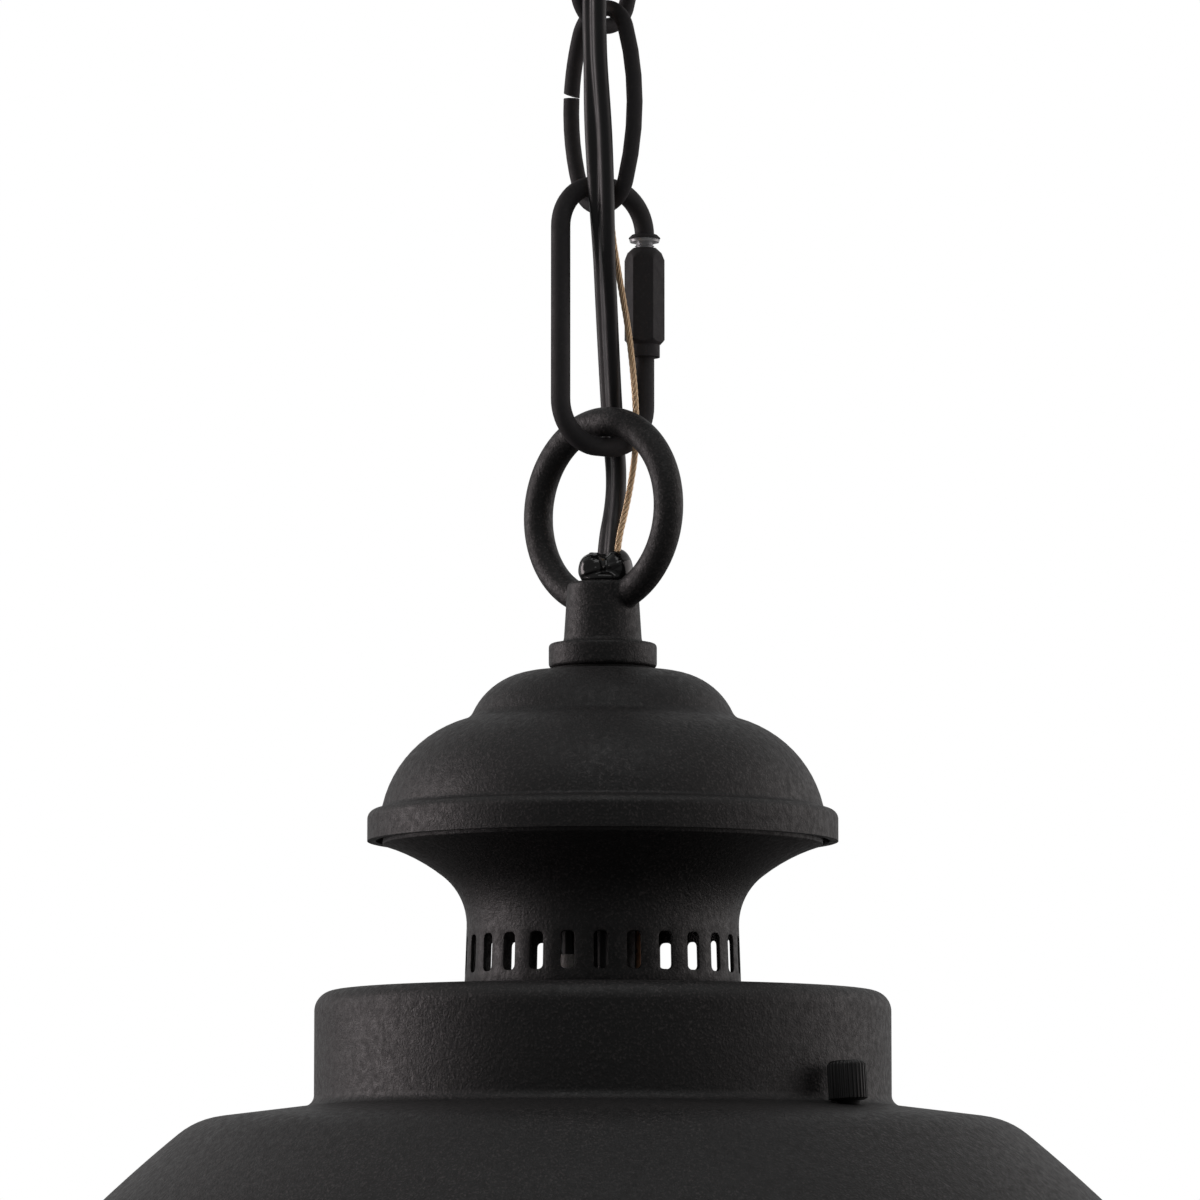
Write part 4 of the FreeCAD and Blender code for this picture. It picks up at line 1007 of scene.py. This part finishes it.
# the sheet stops just short of the bead
stop = -s["bead"] * math.cos(math.pi - start) - s["beadGap"]
keep = [(r, z) for r, z, a in line if (Vector((r, z)) - Vector((endR, endZ))).dot(along) < stop]
inner = [(r, z) for r, z in outline[len(line):] if (Vector((r, z)) - middle).dot(along) < stop]
turnedPiece("flaredShade", keep + bead + inner, 288, level["shade"], "powderCoat", "lamp", "shade")
print("cap, gallery and shade made")


# thumb nuts

thumbSize = {"radius": 3.4, "height": 7.25, "chamfer": 0.7, "flutes": 28, "flute": 0.28, "seat": 0.12,
             "circle": 55.768, "turn": -41.0, "lean": 4.0, "coneInset": 0.5, "coneRise": 0.52, "edgeRise": 0.78,
             "dish": (0.72, 0.66), "dishDepth": 0.12, "weld": 0.000005}


def thumbSector(size):
    # one flute and half of the land on each side; levels are (radius, height, share of the flute's depth)
    half = math.pi / size["flutes"]
    groove = math.asin(size["flute"] / size["radius"])
    shares = [-half, -half * 0.8, -groove, -groove * 0.6, 0.0, groove * 0.6, groove, half * 0.8, half]
    top = size["seat"] + size["height"]
    # the foot is a shallow cone, which clears the sloping shoulder as the nut turns
    levels = [(0.0, size["seat"], 0), (size["radius"] - size["coneInset"], size["seat"] + size["coneRise"], 0),
              (size["radius"], size["seat"] + size["edgeRise"], 1), (size["radius"], top - size["chamfer"], 1),
              (size["radius"] - size["chamfer"] * 0.5, top - size["chamfer"] * 0.35, 0.4),
              (size["radius"] - size["chamfer"], top, 0), (size["radius"] * size["dish"][0], top, 0),
              (size["radius"] * size["dish"][1], top - size["dishDepth"], 0), (0.0, top - size["dishDepth"], 0)]
    bm = bmesh.new()
    rows = []
    for r, z, depth in levels:
        if r < 1e-6:
            rows.append([bm.verts.new((0, 0, z))])
            continue
        row = []
        for share in shares:
            sink = 0.0
            if abs(share) < groove:
                sink = math.sqrt(max(0.0, size["flute"] ** 2 - (size["radius"] * math.sin(share)) ** 2)) * depth
            row.append(bm.verts.new(((r - sink) * math.cos(share), (r - sink) * math.sin(share), z)))
        rows.append(row)
    for first, second in zip(rows, rows[1:]):
        for k in range(len(shares) - 1):
            if len(first) == 1:
                bm.faces.new((first[0], second[k + 1], second[k]))
            elif len(second) == 1:
                bm.faces.new((first[k], first[k + 1], second[0]))
            else:
                bm.faces.new((first[k], first[k + 1], second[k + 1], second[k]))
    return bm


for name, node, side in (("thumbNutRight", "thumb_nut_right", 1), ("thumbNutLeft", "thumb_nut_left", -1)):
    piece = meshPiece(name, thumbSector(thumbSize))
    grow(piece, "ringArray", {"Count": thumbSize["flutes"], "Weld": thumbSize["weld"],
                              "Finish": materials["knobBlack"]})
    settle(piece)
    turn = math.radians(thumbSize["turn"])
    facing = turn + (0.0 if side > 0 else math.pi)
    place = Matrix.Translation((side * thumbSize["circle"] * math.cos(turn) * mm,
                                side * thumbSize["circle"] * math.sin(turn) * mm, level["studSeat"] * mm))
    place = place @ Matrix.Rotation(facing, 4, "Z") @ Matrix.Rotation(-math.radians(thumbSize["lean"]), 4, "Y")
    piece.data.transform(place)
    faceOut(piece.data)
    dress(piece, "knobBlack", node, node, 40.0)
print("thumb nuts made")


# lampholder

holderSize = {"top": 4.0, "radius": 17.2, "lip": 19.6, "lipTop": -10.2, "lipHeight": 5.0, "height": 36.0,
              "web": 10.0, "cavity": 13.75, "screw": 2.0, "lipSlope": 3.0, "round": 0.9}
s = holderSize
lipFoot = s["lipTop"] - s["lipHeight"]
outline = softCorners([(s["screw"], 0.0), (s["radius"], 0.0), (s["radius"], s["lipTop"]), (s["lip"], s["lipTop"]),
                       (s["lip"], lipFoot), (s["radius"], lipFoot - s["lipSlope"]),
                       (s["radius"], -s["height"]), (s["cavity"], -s["height"]), (s["cavity"], -s["web"]),
                       (s["screw"], -s["web"])], s["round"], range(1, 8))
turnedPiece("holderBody", outline, 128, level["socket"] - s["top"], "glazedPorcelain", "lamp", "socket_body")

shellSize = {"bore": 13.2, "wall": 0.5, "length": 22.0, "pitch": 3.6, "crest": 0.45, "eye": 6.2, "slack": 0.2,
             "fade": 2.0, "steps": 72, "top": 14.0}
s = shellSize
inside = []
for k in range(s["steps"] + 1):
    drop = s["wall"] + (s["length"] - s["wall"]) * k / s["steps"]
    fade = min(1.0, (s["length"] - drop) / s["fade"])
    wave = 0.5 - 0.5 * math.cos(math.tau * drop / s["pitch"])
    inside.append((s["bore"] + s["slack"] - s["crest"] * fade * wave, -drop))
outline = [(s["eye"], 0.0), (s["bore"] + s["wall"], 0.0), (s["bore"] + s["wall"], -s["length"])] + inside[::-1]
outline.append((s["eye"], -s["wall"]))
turnedPiece("screwShell", outline, 128, level["socket"] - s["top"], "shellBrass", "lamp", "socket_shell")
print("lampholder made")


# nodes kept from the solids

kept = {
    "zincPlate": ["crossbar", "canopy_stem", "canopy_locknut", "stem", "stem_washer", "stem_nut",
                  "carrier_bar", "socket_cap", "socket_screw"],
    "greenPaint": ["ceiling_ground_screw", "carrier_ground_screw"],
    "gasketRubber": ["cap_gasket", "gallery_gasket"],
    "powderCoat": ["stem_spacer"],
    "blackOxide": ["carrier_studs"],
    "shellBrass": ["socket_contact"],
    "cordJacket": ["lead_neutral", "lead_live"],
    # the ground lead inside the gallery takes the darkened copper, which is painted shade
    "shadeDarkenedCopper": ["ground_lead"],
    "glassSleeve": ["lead_sleeve"],
}
for finish, group in kept.items():
    for node in group:
        mesh = nodes[node].data
        mesh.materials.clear()
        mesh.materials.append(materials[finish])
